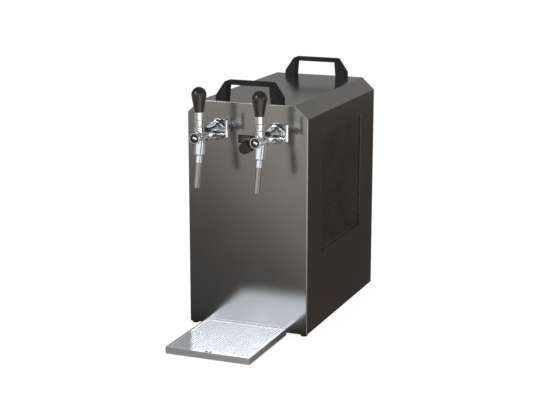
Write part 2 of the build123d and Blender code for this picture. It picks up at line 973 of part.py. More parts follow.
def thermostat_unit():
    """Thermostat behind the front plate, with a bushing for the spindle."""
    width, depth, height = thermostat_body
    unit = block(around(0, width), around(0, height), (-panel_sheet - depth, -panel_sheet))
    unit += rod("Z", thermostat_bushing_radius, (-panel_sheet, 0), (0, 0))
    spindle = thermostat_spindle_radius + running
    deep = thermostat_spindle_depth + apart
    unit -= rod("Z", spindle, (-deep, 1), (0, 0))
    return panel_frame(thermostat_height) * unit


def thermostat_knob():
    """Scalloped knob with its spindle."""
    low, high = thermostat_knob_gap, thermostat_knob_gap + thermostat_knob_length
    knob = rod("Z", thermostat_knob_radius, (low, high), (0, 0))
    knob = chamfer(knob.edges().group_by(Axis.Z)[-1], thermostat_knob_edge)
    away = thermostat_knob_radius + thermostat_lobe_radius - thermostat_lobe_depth
    for i in range(thermostat_lobes):
        cut = rod("Z", thermostat_lobe_radius, (low + thermostat_lobe_low, high + 1), (away, 0))
        knob -= Rot(0, 0, (i + 0.5) * 360 / thermostat_lobes) * cut
    spindle = (-thermostat_spindle_depth, low + 1)
    knob += rod("Z", thermostat_spindle_radius, spindle, (0, 0))
    return panel_frame(thermostat_height) * knob


def thermostat_scale():
    """Thin dial plate above the knob."""
    y = (front_y - scale_sheet, front_y)
    z = (foot_gap + scale_low, foot_gap + scale_low + scale_height)
    return block(around(0, scale_width), y, z)


def case_ports():
    """Where pipes pass through the foam case: place, direction and radius."""
    hoses = [(x, hose_y, hose_radius) for x in tap_places.values()]
    hoses.append((suction_x, suction_front_y, pipe_radius))
    hoses.append((condenser_x, drier_y, capillary_radius))
    return hoses


def cooling_block():
    """Cast aluminium block with the coils inside."""
    x = case_width / 2 - case_wall
    y = (case_front + case_wall, case_back - case_wall)
    return block((-x, x), y, (case_low + case_wall, case_top - case_wall))


def insulation_case():
    """Foam case round the cold block."""
    case = block(around(0, case_width), (case_front, case_back), (case_low, case_top))
    case -= cooling_block()
    above = (case_top - case_wall - 1, case_top + 1)
    for x, y, radius in case_ports():
        case -= rod("Z", radius + slip, above, (x, y))
    behind = (case_back - case_wall - 1, case_back + 1)
    for x in inlet_places:
        at = (x, foot_gap + inlet_height)
        case -= rod("Y", inlet_pipe_radius + slip, behind, at)
    return case


def beer_inlet_pipe(x):
    """Steel inlet pipe from the cold block to a stub behind the rear plate."""
    at = (x, foot_gap + inlet_height)
    pipe = rod("Y", inlet_pipe_radius, (case_back - case_wall, back_y), at)
    return pipe + rod("Y", inlet_stub_radius, (back_y, back_y + inlet_reach), at)


def beer_outlet_hose(x):
    """Hose up from the cold block and forward into the tap's shank."""
    z = foot_gap + tap_height
    low = case_top - case_wall
    points = [(x, front_y + shank_rear, z), (x, hose_y, z), (x, hose_y, low)]
    return bent_rod(points, hose_bend, hose_radius)


def compressor():
    """Hermetic compressor: steel shell with a coned top, on a mounting plate."""
    y = front_y + compressor_from_front
    base = compressor_plate_low + compressor_plate
    seam = (base + compressor_top) / 2
    shoulder = compressor_top - compressor_crown
    bend = shoulder + compressor_crown * compressor_shoulder[1]
    shell = turned([
        (0, compressor_top),
        (0, base),
        (compressor_radius - compressor_foot_taper[0], base),
        (compressor_radius, base + compressor_foot_taper[1]),
        (compressor_radius, seam - compressor_seam_half),
        (compressor_radius + compressor_seam, seam - compressor_seam_half),
        (compressor_radius + compressor_seam, seam + compressor_seam_half),
        (compressor_radius, seam + compressor_seam_half),
        (compressor_radius, shoulder),
        (compressor_radius * compressor_shoulder[0], bend),
        (compressor_radius * compressor_flat, compressor_top),
    ])
    shell = Pos(compressor_x, y, 0) * shell
    width, depth = compressor_plate_size
    plate_z = (compressor_plate_low, base)
    shell += block(around(compressor_x, width), around(y, depth), plate_z)
    pad = compressor_x - compressor_radius - compressor_seam
    pad_y = around(y, terminal_box[1] - compressor_pad_less)
    pad_z = around(terminal_height, terminal_box[2] - compressor_pad_less)
    shell += block((pad, compressor_x), pad_y, pad_z)
    at = (suction_x, suction_back_y)
    shell += rod("Z", compressor_port_radius, (shoulder - compressor_port_sink, suction_low), at)
    discharge = (compressor_x, discharge_start)
    shell += rod("X", compressor_port_radius, discharge, (discharge_y, discharge_low))
    for place in compressor_places():
        shell -= rod("Z", grommet_neck + running, (plate_z[0] - 1, base + 1), place)
    return shell


def compressor_terminal_box():
    """Cover over the compressor's terminals."""
    x = compressor_x - compressor_radius - compressor_seam
    y = front_y + compressor_from_front
    box = block(
        (x - terminal_box[0], x),
        around(y, terminal_box[1]),
        around(terminal_height, terminal_box[2]),
    )
    return chamfer(box.faces().sort_by(Axis.X)[0].edges(), terminal_edge)


def compressor_grommets():
    """Rubber grommets that carry the compressor on its studs."""
    base = compressor_plate_low + compressor_plate
    grommets = []
    for place in compressor_places():
        grommet = rod("Z", grommet_radius, (floor_z, compressor_plate_low), place)
        grommet += rod("Z", grommet_neck, (compressor_plate_low, base), place)
        grommet += rod("Z", grommet_radius - 1, (base, base + grommet_top), place)
        bore = (floor_z - 1, base + grommet_top + 1)
        grommets.append(grommet - rod("Z", stud_radius + running, bore, place))
    return grommets


def condenser_box():
    """The condenser's limits along Y and Z."""
    y = front_y + condenser_from_front
    z = foot_gap + condenser_low
    return (y, y + condenser_length), (z, z + condenser_height)


def condenser():
    """Finned condenser with return bends at its front end."""
    (y0, y1), z = condenser_box()
    coil = block(around(condenser_x, condenser_thickness), (y0, y1), z)
    pitch = (condenser_length - condenser_plate) / (condenser_fins + 1)
    slots = []
    for i in range(condenser_fins + 1):
        start = y0 + condenser_plate + i * pitch
        span = (start, start + pitch - condenser_plate)
        for side in (-1, 1):
            near = condenser_x + side * condenser_core / 2
            far = condenser_x + side * (condenser_thickness / 2 + 1)
            high = (z[0] + condenser_header, z[1] - condenser_header)
            slots.append(block(sorted((near, far)), span, high))
    coil -= slots
    step = condenser_height / (return_bends + 1)
    for i in range(return_bends):
        low = z[0] + (i + 1) * step - return_bend_radius
        high = low + 2 * return_bend_radius
        out = y0 - return_bend_radius - 2
        points = [(condenser_x, y0 + 1, low), (condenser_x, out, low)]
        points += [(condenser_x, out, high), (condenser_x, y0 + 1, high)]
        coil += bent_rod(points, return_bend_radius - 0.1, pipe_radius)
    return coil


def fan_shroud():
    """Sheet shroud on the condenser with a strap that carries the motor."""
    y, z = condenser_box()
    back = condenser_x - condenser_thickness / 2
    front = back - shroud_depth
    shroud = block((front, back), y, z)
    inset = [(low + shroud_sheet, high - shroud_sheet) for low, high in (y, z)]
    shroud -= block((front + shroud_sheet, back + 1), *inset)
    middle = (sum(y) / 2, sum(z) / 2)
    shroud -= rod("X", shroud_hole_radius, (front - 1, back), middle)
    strap_y = around(middle[0], bracket_width)
    strap = block(
        (front - bracket_reach, front),
        strap_y,
        around(middle[1], 2 * bracket_half_height),
    )
    strap -= block(
        (front - bracket_reach + bracket_sheet, front + 1),
        strap_y,
        around(middle[1], 2 * (bracket_half_height - bracket_sheet)),
    )
    return shroud + strap


def fan_axis():
    """The fan's centre line and the strap face that carries its motor."""
    y, z = condenser_box()
    strap = condenser_x - condenser_thickness / 2 - shroud_depth - bracket_reach + bracket_sheet
    return (sum(y) / 2, sum(z) / 2), strap


def fan_motor():
    """Motor on the strap, bored for the fan's shaft."""
    at, strap = fan_axis()
    face = strap + fan_motor_length
    motor = rod("X", fan_motor_radius, (strap, face), at)
    motor = chamfer(motor.edges().group_by(Axis.X)[0], fan_motor_edge)
    bore = (face - fan_shaft_depth - apart, face + 1)
    return motor - rod("X", fan_shaft_radius + running, bore, at)


def fan_rotor():
    """Fan with pitched blades on its shaft."""
    at, strap = fan_axis()
    face = strap + fan_motor_length
    hub = (face + fan_gap, face + fan_gap + fan_hub_length)
    rotor = rod("X", fan_hub_radius, hub, at)
    rotor += rod("X", fan_shaft_radius, (face - fan_shaft_depth, hub[0]), at)
    root = fan_hub_radius - fan_root_sink
    middle = Pos((hub[0] + hub[1]) / 2 + fan_blade_shift, *at)
    blade = Pos(0, 0, (root + fan_radius) / 2) * Rot(0, 0, fan_pitch)
    blade *= Box(fan_blade_sheet, fan_chord, fan_radius - root)
    for i in range(fan_blades):
        rotor += middle * Rot(i * 360 / fan_blades, 0, 0) * blade
    return rotor


def suction_pipe():
    """Cold gas pipe from the block's top to the compressor's top."""
    high = suction_low + suction_rise
    points = [
        (suction_x, suction_front_y, case_top - case_wall),
        (suction_x, suction_front_y, high),
        (suction_x, suction_back_y, high),
        (suction_x, suction_back_y, suction_low),
    ]
    return bent_rod(points, pipe_bend, pipe_radius)


def discharge_pipe():
    """Hot gas pipe from the compressor up to the condenser's rear end."""
    (_, y1), z = condenser_box()
    high = z[1] - return_bend_radius
    points = [
        (discharge_start, discharge_y, discharge_low),
        (condenser_x, discharge_y, discharge_low),
        (condenser_x, discharge_y, high),
        (condenser_x, y1, high),
    ]
    return bent_rod(points, pipe_bend, pipe_radius)


def liquid_pipe():
    """Pipe from the condenser's front end down into the filter drier."""
    (y0, _), z = condenser_box()
    high = z[0] + condenser_height / (return_bends + 1) * (return_bends - 0.5)
    points = [
        (condenser_x, y0, high),
        (condenser_x, drier_y, high),
        (condenser_x, drier_y, foot_gap + drier_top),
    ]
    return bent_rod(points, pipe_bend, pipe_radius)


def filter_drier():
    """Filter drier: a cartridge with two necks, and the capillary below it."""
    top = foot_gap + drier_top
    low = top - drier_length
    neck = pipe_radius + 1
    drier = turned([
        (0, top),
        (neck, top),
        (neck, top - drier_neck_length),
        (drier_radius, top - drier_cone),
        (drier_radius, low + drier_cone),
        (neck, low + drier_neck_length),
        (neck, low),
        (0, low),
    ])
    drier = Pos(condenser_x, drier_y, 0) * drier
    span = (case_top - case_wall, low)
    return drier + rod("Z", capillary_radius, span, (condenser_x, drier_y))


def switch_frame():
    """Switch housing: a rim outside the rear plate and a well inside."""
    z = foot_gap + switch_height
    wide, tall = switch_well
    well_x = around(switch_x, wide + 2 * switch_wall)
    well_z = around(z, tall + 2 * switch_wall)
    rim_x = around(switch_x, wide + 2 * (switch_wall + switch_rim))
    rim_z = around(z, tall + 2 * (switch_wall + switch_rim))
    frame = block(well_x, (back_y - switch_depth, back_y), well_z)
    frame += block(rim_x, (back_y, back_y + switch_rim_height), rim_z)
    well_y = (back_y - switch_depth + switch_wall, back_y + switch_rim_height + 1)
    frame -= block(around(switch_x, wide), well_y, around(z, tall))
    pins = wide / 2 - apart + rocker_pin_length + running
    at = (back_y - rocker_pivot, z)
    return frame - rod("X", rocker_pin_radius + running, around(switch_x, 2 * pins), at)


def switch_rocker():
    """Rocker with a shallow V face, shown tipped to off."""
    wide = switch_well[0] - 2 * apart
    rocker = rod("X", rocker_radius, around(0, wide), (0, 0))
    vee = make_face(Plane.YZ * Polyline([
        (rocker_face, 0),
        (rocker_face + rocker_vee * rocker_radius, rocker_radius),
        (2 * rocker_radius, rocker_radius),
        (2 * rocker_radius, -rocker_radius),
        (rocker_face + rocker_vee * rocker_radius, -rocker_radius),
    ], close=True))
    rocker -= extrude(vee, wide, both=True)
    pins = wide / 2 + rocker_pin_length
    rocker += rod("X", rocker_pin_radius, (-pins, pins), (0, 0))
    pivot = Pos(switch_x, back_y - rocker_pivot, foot_gap + switch_height)
    return pivot * Rot(rocker_tilt, 0, 0) * rocker


def cable_gland():
    """Snap-in cable bushing with a hexagon and a tapered nose."""
    blank = RegularPolygon(gland_hex / 2, 6, major_radius=False)
    gland = extrude(blank, gland_hex_length)
    gland += turned([
        (0, -gland_stem_length),
        (gland_stem_radius, -gland_stem_length),
        (gland_stem_radius, 0),
        (gland_hex / 2 - gland_hex_taper, gland_hex_length),
        (gland_nose_radius, gland_length),
        (0, gland_length),
    ])
    gland -= rod("Z", gland_bore, (-gland_stem_length - 1, gland_length + 1), (0, 0))
    return Pos(gland_x, back_y, foot_gap + gland_height) * Rot(-90, 0, 0) * gland


# Pipe and hose routes that several pieces share.
hose_y = front_y + shank_rear + hose_run
drier_y = front_y + drier_from_front
suction_x = compressor_x - suction_offset
suction_front_y = case_back - case_wall - suction_cover
suction_back_y = front_y + compressor_from_front
suction_low = compressor_top + suction_port
discharge_y = front_y + condenser_from_front + condenser_length + discharge_behind
discharge_low = discharge_height
discharge_start = compressor_x + compressor_radius - discharge_sink


def write(node, shape):
    """Writes one node, as one solid or as a group of separate solids."""
    if isinstance(shape, list):
        shape = Compound(children=[one for piece in shape for one in piece.solids()])
    export_step(shape, f"parts/{node}.step")


def main():
    os.makedirs("parts", exist_ok=True)
    write("base_pan", base_pan())
    write("rubber_feet", rubber_feet())
    write("front_panel", front_panel())
    write("cover", cover())
    write("rear_panel", rear_panel())
    write("rear_screws", rear_screws())
    write("side_grille_left", side_grille(-1))
    write("side_grille_right", side_grille(1))
    for name, start in handle_fronts().items():
        write(f"handle_{name}", handle(start))
    write("handle_screws", handle_screws())
    write("drip_tray", drip_tray())
    write("drip_grid", drip_grid())
    write("shank_nuts", shank_nuts())
    tap_pieces = {
        "tap_shank": tap_shank(),
        "coupling_nut": coupling_nut(),
        "tap_body": tap_body(),
        "tap_lever": tap_lever(),
        "tap_knob": tap_knob(),
        "valve_plunger": valve_plunger(),
        "tap_cap": tap_cap(),
        "compensator_lever": compensator_lever(),
        "compensator_cone": compensator_cone(),
        "spout_nozzle": spout_nozzle(),
        "spout_tube": spout_tube(),
    }
    for side, x in tap_places.items():
        for name, piece in tap_pieces.items():
            write(f"{name}_{side}", tap_frame(x) * piece)
        write(f"beer_outlet_hose_{side}", beer_outlet_hose(x))
    for side, x in zip(tap_places, inlet_places):
        write(f"beer_inlet_pipe_{side}", beer_inlet_pipe(x))
    write("thermostat_unit", thermostat_unit())
    write("thermostat_knob", thermostat_knob())
    write("thermostat_scale", thermostat_scale())
    write("cooling_block", cooling_block())
    write("insulation_case", insulation_case())
    write("compressor", compressor())
    write("compressor_terminal_box", compressor_terminal_box())
    write("compressor_grommets", compressor_grommets())
    write("condenser", condenser())
    write("fan_shroud", fan_shroud())
    write("fan_motor", fan_motor())
    write("fan_rotor", fan_rotor())
    write("suction_pipe", suction_pipe())
    write("discharge_pipe", discharge_pipe())
    write("liquid_pipe", liquid_pipe())
    write("filter_drier", filter_drier())
    write("switch_frame", switch_frame())
    write("switch_rocker", switch_rocker())
    write("cable_gland", cable_gland())


main()
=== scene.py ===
from math import atan2, cos, pi, radians, sin

import bmesh
import bpy
from mathutils import Matrix, Vector


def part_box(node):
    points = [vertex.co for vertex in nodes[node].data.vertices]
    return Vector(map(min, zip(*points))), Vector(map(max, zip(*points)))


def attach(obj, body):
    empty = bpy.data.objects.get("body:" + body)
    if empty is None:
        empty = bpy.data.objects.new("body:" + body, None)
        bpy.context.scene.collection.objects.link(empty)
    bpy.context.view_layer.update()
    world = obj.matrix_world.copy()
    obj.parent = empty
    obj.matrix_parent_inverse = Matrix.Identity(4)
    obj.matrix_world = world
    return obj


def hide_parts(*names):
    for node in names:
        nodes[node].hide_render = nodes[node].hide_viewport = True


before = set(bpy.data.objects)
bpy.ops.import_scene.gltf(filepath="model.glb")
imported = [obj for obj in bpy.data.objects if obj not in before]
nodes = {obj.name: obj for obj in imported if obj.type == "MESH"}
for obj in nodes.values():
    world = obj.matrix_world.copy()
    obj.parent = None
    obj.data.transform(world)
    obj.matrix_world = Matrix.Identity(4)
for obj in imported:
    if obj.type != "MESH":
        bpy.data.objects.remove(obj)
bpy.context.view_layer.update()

# Lengths are millimetres until a piece is made, and metres from then on.
MM = 0.001
SIDES = ("left", "right")
front_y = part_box("front_panel")[0].y / MM


# --- Nodes and colours ---------------------------------------------------------------

# How far apart the slow changes of colour are, in millimetres, and how far the roughness
# strays from its middle value.
MOULD_CLOUD, ROLL_CLOUD, PAINT_CLOUD = 18.0, 90.0, 60.0
MOULD_SMOOTHER, MOULD_ROUGHER, ROLL_STRAY = 0.06, 0.08, 0.035


def linear(code):
    """An sRGB hex colour as the linear colour that a socket takes."""
    parts = [int(code[i:i + 2], 16) / 255 for i in (1, 3, 5)]
    return [p / 12.92 if p <= 0.04045 else ((p + 0.055) / 1.055) ** 2.4 for p in parts] + [1.0]


def add_node(tree, kind, inputs=None, **settings):
    """Adds a shader node. An input that is a socket is linked, and any other is set."""
    node = tree.nodes.new("ShaderNode" + kind)
    for name, value in settings.items():
        setattr(node, name, value)
    for name, value in (inputs or {}).items():
        if isinstance(value, bpy.types.NodeSocket):
            tree.links.new(value, node.inputs[name])
        else:
            node.inputs[name].default_value = value
    return node


def per_metre(size):
    """A texture's scale for a feature of that many millimetres."""
    return 1 / (size * MM)


def surface(name, metallic, roughness, **sockets):
    """A new material: its node tree, its shader and coordinates that ride with the piece."""
    made = bpy.data.materials.new(name)
    made.use_nodes = True
    tree = made.node_tree
    shader = tree.nodes["Principled BSDF"]
    shader.inputs["Metallic"].default_value = metallic
    shader.inputs["Roughness"].default_value = roughness
    for socket, value in sockets.items():
        shader.inputs[socket.replace("_", " ")].default_value = value
    place = add_node(tree, "TexCoord").outputs["Object"]
    return made, tree, shader, place


def dress(tree, shader, tone, rough=None, relief=None, span=(0.3, 0.7)):
    """Lets patterns drive the shader. tone is a pattern and two hex colours, rough a pattern
    and two values of roughness, relief a pattern and its depth in millimetres, and span the
    values of the pattern that have the two colours."""
    pattern, *codes = tone
    ramp = add_node(tree, "ValToRGB", {"Fac": pattern})
    for stop, at, code in zip(ramp.color_ramp.elements, span, codes):
        stop.position = at
        stop.color = linear(code)
    tree.links.new(ramp.outputs["Color"], shader.inputs["Base Color"])
    if rough:
        pattern, low, high = rough
        spread = add_node(tree, "MapRange", {"Value": pattern, "To Min": low, "To Max": high})
        tree.links.new(spread.outputs["Result"], shader.inputs["Roughness"])
    if relief:
        pattern, depth = relief
        bump = add_node(tree, "Bump", {"Height": pattern, "Distance": depth * MM})
        tree.links.new(bump.outputs["Normal"], shader.inputs["Normal"])


def moulded(name, low, high, roughness, grain, depth, **sockets):
    """Injection moulded plastic or rubber: near-even colour over a fine spark-eroded grain."""
    made, tree, shader, place = surface(name, 0.0, roughness, **sockets)
    cloud = add_node(tree, "TexNoise", {
        "Vector": place, "Scale": per_metre(MOULD_CLOUD), "Detail": 3.0})
    fine = add_node(tree, "TexNoise", {"Vector": place, "Scale": per_metre(grain), "Detail": 4.0})
    dress(tree, shader, (cloud.outputs["Fac"], low, high),
          (fine.outputs["Fac"], roughness - MOULD_SMOOTHER, roughness + MOULD_ROUGHER),
          (fine.outputs["Fac"], depth))
    return made


def rolled(name, low, high, roughness, stretch, line, depth):
    """Metal with its rolling or brushing lines drawn out along one axis."""
    made, tree, shader, place = surface(name, 1.0, roughness)
    drawn = add_node(tree, "Mapping", {"Vector": place, "Scale": stretch})
    lines = add_node(tree, "TexNoise", {
        "Vector": drawn.outputs["Vector"], "Scale": per_metre(line),
        "Detail": 5.0, "Roughness": 0.65})
    cloud = add_node(tree, "TexNoise", {
        "Vector": place, "Scale": per_metre(ROLL_CLOUD), "Detail": 3.0})
    dress(tree, shader, (cloud.outputs["Fac"], low, high),
          (lines.outputs["Fac"], roughness - ROLL_STRAY, roughness + ROLL_STRAY),
          (lines.outputs["Fac"], depth))
    return made


def painted(name, low, high, roughness, peel, depth, **sockets):
    """Sprayed or powder-coated metal: an even colour over soft orange peel."""
    made, tree, shader, place = surface(name, 0.0, roughness, **sockets)
    cells = add_node(tree, "TexVoronoi", {
        "Vector": place, "Scale": per_metre(peel), "Smoothness": 1.0}, feature="SMOOTH_F1")
    cloud = add_node(tree, "TexNoise", {
        "Vector": place, "Scale": per_metre(PAINT_CLOUD), "Detail": 2.0})
    dress(tree, shader, (cloud.outputs["Fac"], low, high),
          relief=(cells.outputs["Distance"], depth))
    return made


def mottled(name, metallic, roughness, patch, detail, tones, gloss):
    """Metal whose colour and gloss change together, from patch to patch."""
    made, tree, shader, place = surface(name, metallic, roughness)
    patches = add_node(tree, "TexNoise", {
        "Vector": place, "Scale": per_metre(patch), "Detail": detail})
    dress(tree, shader, (patches.outputs["Fac"], *tones), (patches.outputs["Fac"], *gloss))
    return made


def pitted(name, metallic, roughness, pit, tones, depth, span):
    """A cast or cut skin with open pits."""
    made, tree, shader, place = surface(name, metallic, roughness)
    pits = add_node(tree, "TexVoronoi", {"Vector": place, "Scale": per_metre(pit)})
    dress(tree, shader, (pits.outputs["Distance"], *tones),
          relief=(pits.outputs["Distance"], depth), span=span)
    return made


# --- Materials -----------------------------------------------------------------------

# Grains and lines of 0.1 mm or less are too fine to show, even close up, so they are drawn
# coarser, at 0.3 to 0.8 mm. The real size is given beside the drawn one.
finishes = {}

# Stainless steel sheet, bright annealed and lightly buffed. It mirrors the room softly, and
# faint upright polishing lines keep the mirror from being perfect. They are 0.1 mm apart in
# the real sheet, and 0.6 mm here.
finishes["polished_panel"] = rolled(
    "buffed_stainless_sheet", "#9A9896", "#A2A09E", 0.17, (1.0, 1.0, 0.04), 0.6, 0.0006)

# Its sheared edges are matt, not metal, and paler than its faces. This is partly their own matt
# cut and partly a painted highlight that makes each edge a pale line. The mask is 1 on a face that
# looks to the front or the rear, and 0 on an edge.
PALE_EDGE_HIGHLIGHT = "#C4C1BB"
EDGE_TURN, FACE_TURN = 0.3, 0.7

tree = finishes["polished_panel"].node_tree
shader = tree.nodes["Principled BSDF"]
facing = add_node(tree, "SeparateXYZ", {"Vector": add_node(tree, "TexCoord").outputs["Normal"]})
turned = add_node(tree, "Math", {0: facing.outputs["Y"]}, operation="ABSOLUTE")
mask = add_node(tree, "MapRange", {
    "Value": turned.outputs[0], "From Min": EDGE_TURN, "From Max": FACE_TURN})
buffed = shader.inputs["Base Color"].links[0].from_socket
edge_highlight_mix = add_node(tree, "Mix", {0: mask.outputs[0], 6: linear(PALE_EDGE_HIGHLIGHT), 7: buffed},
                 data_type="RGBA")
tree.links.new(edge_highlight_mix.outputs[2], shader.inputs["Base Color"])
tree.links.new(mask.outputs[0], shader.inputs["Metallic"])

# The same stainless sheet on the folded cover, left a little duller by the mill. Its rolling
# lines run from front to back, 0.1 mm apart in the real sheet, and 0.8 mm here.
finishes["brushed_cover"] = rolled(
    "satin_stainless_cover", "#BEBBB8", "#C8C5C2", 0.17, (1.0, 0.04, 1.0), 0.8, 0.0008)

# Stainless sheet folded into the drip tray. Linishing leaves it silky and pale, with lines
# across it, 0.2 mm apart in the real sheet, and 0.7 mm here.
finishes["tray_steel"] = rolled(
    "linished_stainless_tray", "#DBDAD8", "#E6E5E3", 0.46, (0.05, 1.0, 1.0), 0.7, 0.0010)

# Stainless sheet, perforated and then bright polished. Only part of it is metal. The rest is a
# pale, bluish matt colour, a painted reflection of the bright room, which makes it whiter than the
# plate behind it. Its polishing lines are drawn 0.7 mm apart, and are finer than 0.1 mm.
GRID_METALLIC = 0.52
finishes["grid_steel"] = rolled(
    "polished_perforated_stainless", "#DCE3EA", "#E6EDF4", 0.13, (1.0, 0.05, 1.0), 0.7, 0.0004)
half_matt_grid_shader = finishes["grid_steel"].node_tree.nodes["Principled BSDF"]
half_matt_grid_shader.inputs["Metallic"].default_value = GRID_METALLIC

# Drawn stainless tube, half polished, with long drawing lines down it. They are 0.1 mm apart
# in the real tube, and 0.5 mm here.
finishes["spout_steel"] = rolled(
    "drawn_stainless_tube", "#918A82", "#A39A91", 0.16, (1.0, 1.0, 0.05), 0.5, 0.0008)
# The inlet stubs are the same tube, left as drawn, so they are paler and duller.
finishes["inlet_steel"] = rolled(
    "drawn_stainless_stub", "#B4B2AF", "#C6C4C1", 0.22, (1.0, 0.05, 1.0), 0.5, 0.0008)

# Galvanised steel pan: zinc with flat grey spangles some 12 mm across.
made, tree, shader, place = surface("galvanised_steel", 1.0, 0.42)
spangle = add_node(tree, "TexVoronoi", {"Vector": place, "Scale": per_metre(12.0)})
dress(tree, shader, (spangle.outputs["Color"], "#9DA0A2", "#B9BCBE"),
      (spangle.outputs["Color"], 0.34, 0.5), span=(0.1, 0.9))
finishes["base_sheet"] = made

# Bright chrome plate on polished brass. Only a faint buffing haze of 3 mm softens it.
finishes["tap_chrome"] = mottled(
    "bright_chrome_plate", 1.0, 0.05, 3.0, 4.0, ("#D9DBDD", "#E6E8EA"), (0.03, 0.08))
# Zinc-plated steel screws: bluish bright zinc with a fine 0.8 mm mottle.
finishes["zinc_screws"] = mottled(
    "blue_zinc_plate", 1.0, 0.3, 0.8, 3.0, ("#A9AFB5", "#C6CBD0"), (0.22, 0.4))
# Copper refrigeration pipe, drawn and then dulled by handling in patches of 9 mm.
finishes["copper_pipe"] = mottled(
    "drawn_copper", 1.0, 0.3, 9.0, 5.0, ("#9A5B3B", "#C98563"), (0.2, 0.45))
# Dial plate: black anodised aluminium foil with a satin face. Its grain is drawn at 0.3 mm,
# and is ten times finer.
finishes["scale_foil"] = mottled(
    "anodised_dial_plate", 0.85, 0.36, 0.3, 2.0, ("#3A3733", "#45413C"), (0.3, 0.42))

# Cast aluminium block. The 0.3 mm sand leaves a grey pitted skin, drawn with 1.5 mm pits.
finishes["cast_block"] = pitted(
    "sand_cast_aluminium", 1.0, 0.55, 1.5, ("#8F9193", "#B5B7B9"), 0.12, (0.0, 0.8))
# Rigid polyurethane foam: cream, matt, with open cells on the cut skin. They are some
# 0.3 mm wide, and 1.2 mm here.
finishes["foam"] = pitted(
    "rigid_polyurethane_foam", 0.0, 0.9, 1.2, ("#B9AC86", "#E2D8B8"), 0.3, (0.05, 0.6))

# Condenser: rolled aluminium fins, seen through slots. The real ones are 2.2 mm apart, too
# fine to show there. A wave texture turns 20 radians per unit, so with 2.2 mm to a radian
# the dark and light bands along the coil are 13.8 mm apart. The light bands are the fins,
# and the dark bands are painted shade between them.
FIN_RADIAN, WAVE_RADIANS = 2.2, 20
made, tree, shader, place = surface("rolled_aluminium_fins", 1.0, 0.38)
fin_bands_and_shade = add_node(tree, "TexWave", {
    "Vector": place, "Scale": per_metre(FIN_RADIAN) / WAVE_RADIANS, "Distortion": 0.2},
    bands_direction="Y", wave_profile="SIN")
dress(tree, shader, (fin_bands_and_shade.outputs["Fac"], "#56595B", "#B2B6B9"),
      relief=(fin_bands_and_shade.outputs["Fac"], 0.4), span=(0.2, 0.8))
finishes["condenser_fins"] = made

# Mouldings have a grain of 0.1 mm or less from the spark-eroded mould. It is drawn at the
# size that each line gives after its roughness.
# Handles: glass-filled polyamide, black, with a satin grain that scatters highlights.
finishes["handle_plastic"] = moulded("grained_polyamide", "#141312", "#1C1B19", 0.5, 0.5, 0.02,
                                     Specular_IOR_Level=0.34)
# Tap knobs: brown-black phenolic, compression moulded and buffed to a deep gloss.
finishes["knob_gloss"] = moulded("buffed_phenolic", "#2E2A26", "#36322D", 0.14, 1.2, 0.001)
# Thermostat knob: ABS from a finely etched mould, satin.
finishes["dial_knob"] = moulded("satin_abs_knob", "#242220", "#2C2A27", 0.4, 0.5, 0.01)
# Thermostat housing: ivory polyester, smooth and a little waxy.
finishes["thermostat_plastic"] = moulded(
    "ivory_pbt_housing", "#BDB6A4", "#CBC5B4", 0.45, 0.5, 0.01)
# Terminal box: black polyester, slightly dusty in its gloss.
finishes["terminal_plastic"] = moulded("black_pbt_cover", "#161616", "#1F1F1F", 0.42, 0.5, 0.01)
# Switch bezel: black polyamide with an even satin face.
finishes["switch_plastic"] = moulded(
    "black_polyamide_bezel", "#121212", "#1A1A1A", 0.38, 0.4, 0.01)
# Switch rocker: black polycarbonate from a polished mould, glossy.
finishes["rocker_plastic"] = moulded("gloss_polycarbonate", "#0E0E0E", "#151515", 0.18, 0.8, 0.002)
# Cable gland: black polyamide, satin.
finishes["gland_plastic"] = moulded(
    "ribbed_polyamide_gland", "#151515", "#1D1D1D", 0.42, 0.4, 0.01)
# Fan: black polypropylene with a soft, greasy sheen.
finishes["fan_plastic"] = moulded("black_polypropylene", "#161616", "#202020", 0.36, 0.8, 0.01)
# Compensator cones: acetal turned from rod, milk white with a dull shine.
finishes["acetal"] = moulded("turned_acetal", "#D8D7D1", "#E4E3DE", 0.34, 0.3, 0.005)
# Feet and compressor grommets: matt rubber with a coarse 0.8 mm bloom.
finishes["foot_rubber"] = moulded("moulded_rubber", "#141414", "#1E1D1C", 0.72, 0.8, 0.03)
# Beer line: milky polyethylene that lets some light into its wall.
finishes["beer_hose"] = moulded("milky_polyethylene", "#C9CDD0", "#D8DBDD", 0.3, 2.0, 0.004,
                                Subsurface_Weight=0.3, Subsurface_Scale=0.004)

# Side grilles: perforated steel in a thin brown-black coat, whose peel is 0.9 mm across.
finishes["grille_plastic"] = painted(
    "coated_perforated_steel", "#34312D", "#3D3A35", 0.42, 0.9, 0.01)
# Rear plate: graphite powder coat with the orange peel of a thick coat, 2.5 mm across.
finishes["rear_sheet"] = painted("graphite_powder_coat", "#3C3D3E", "#464748", 0.42, 2.5, 0.03)
# Fan shroud: black coated sheet with a finer peel, 1.8 mm across.
finishes["shroud_sheet"] = painted("black_coated_sheet", "#1A1A1A", "#222222", 0.36, 1.8, 0.02)
# Fan motor: dark grey enamel, sprayed on thin, with a peel 1.5 mm across.
finishes["motor_paint"] = painted("grey_motor_enamel", "#2E3032", "#393B3D", 0.34, 1.5, 0.02)
# Compressor shell: glossy black enamel with a long peel, 3 mm across, and a clear skin.
finishes["compressor_paint"] = painted(
    "black_compressor_enamel", "#0E0E0E", "#161616", 0.2, 3.0, 0.02,
    Coat_Weight=0.3, Coat_Roughness=0.1)

# Screen-printed white ink on the dial plate and the switch: flat, slightly grainy.
ink = moulded("screen_print_ink", "#C9C7C2", "#D9D7D2", 0.5, 0.4, 0.01)

for name, node in nodes.items():
    for holder in node.material_slots:
        holder.material = finishes[holder.material.name.split(".")[0]]


# --- Making pieces -------------------------------------------------------------------

# Points nearer than WELD are one. An edge that turns by more than CREASE degrees is sharp,
# and is rounded in EASE_STEPS where the piece has eased edges.
WELD, CREASE, EASE_STEPS = 0.002, 32.0, 2


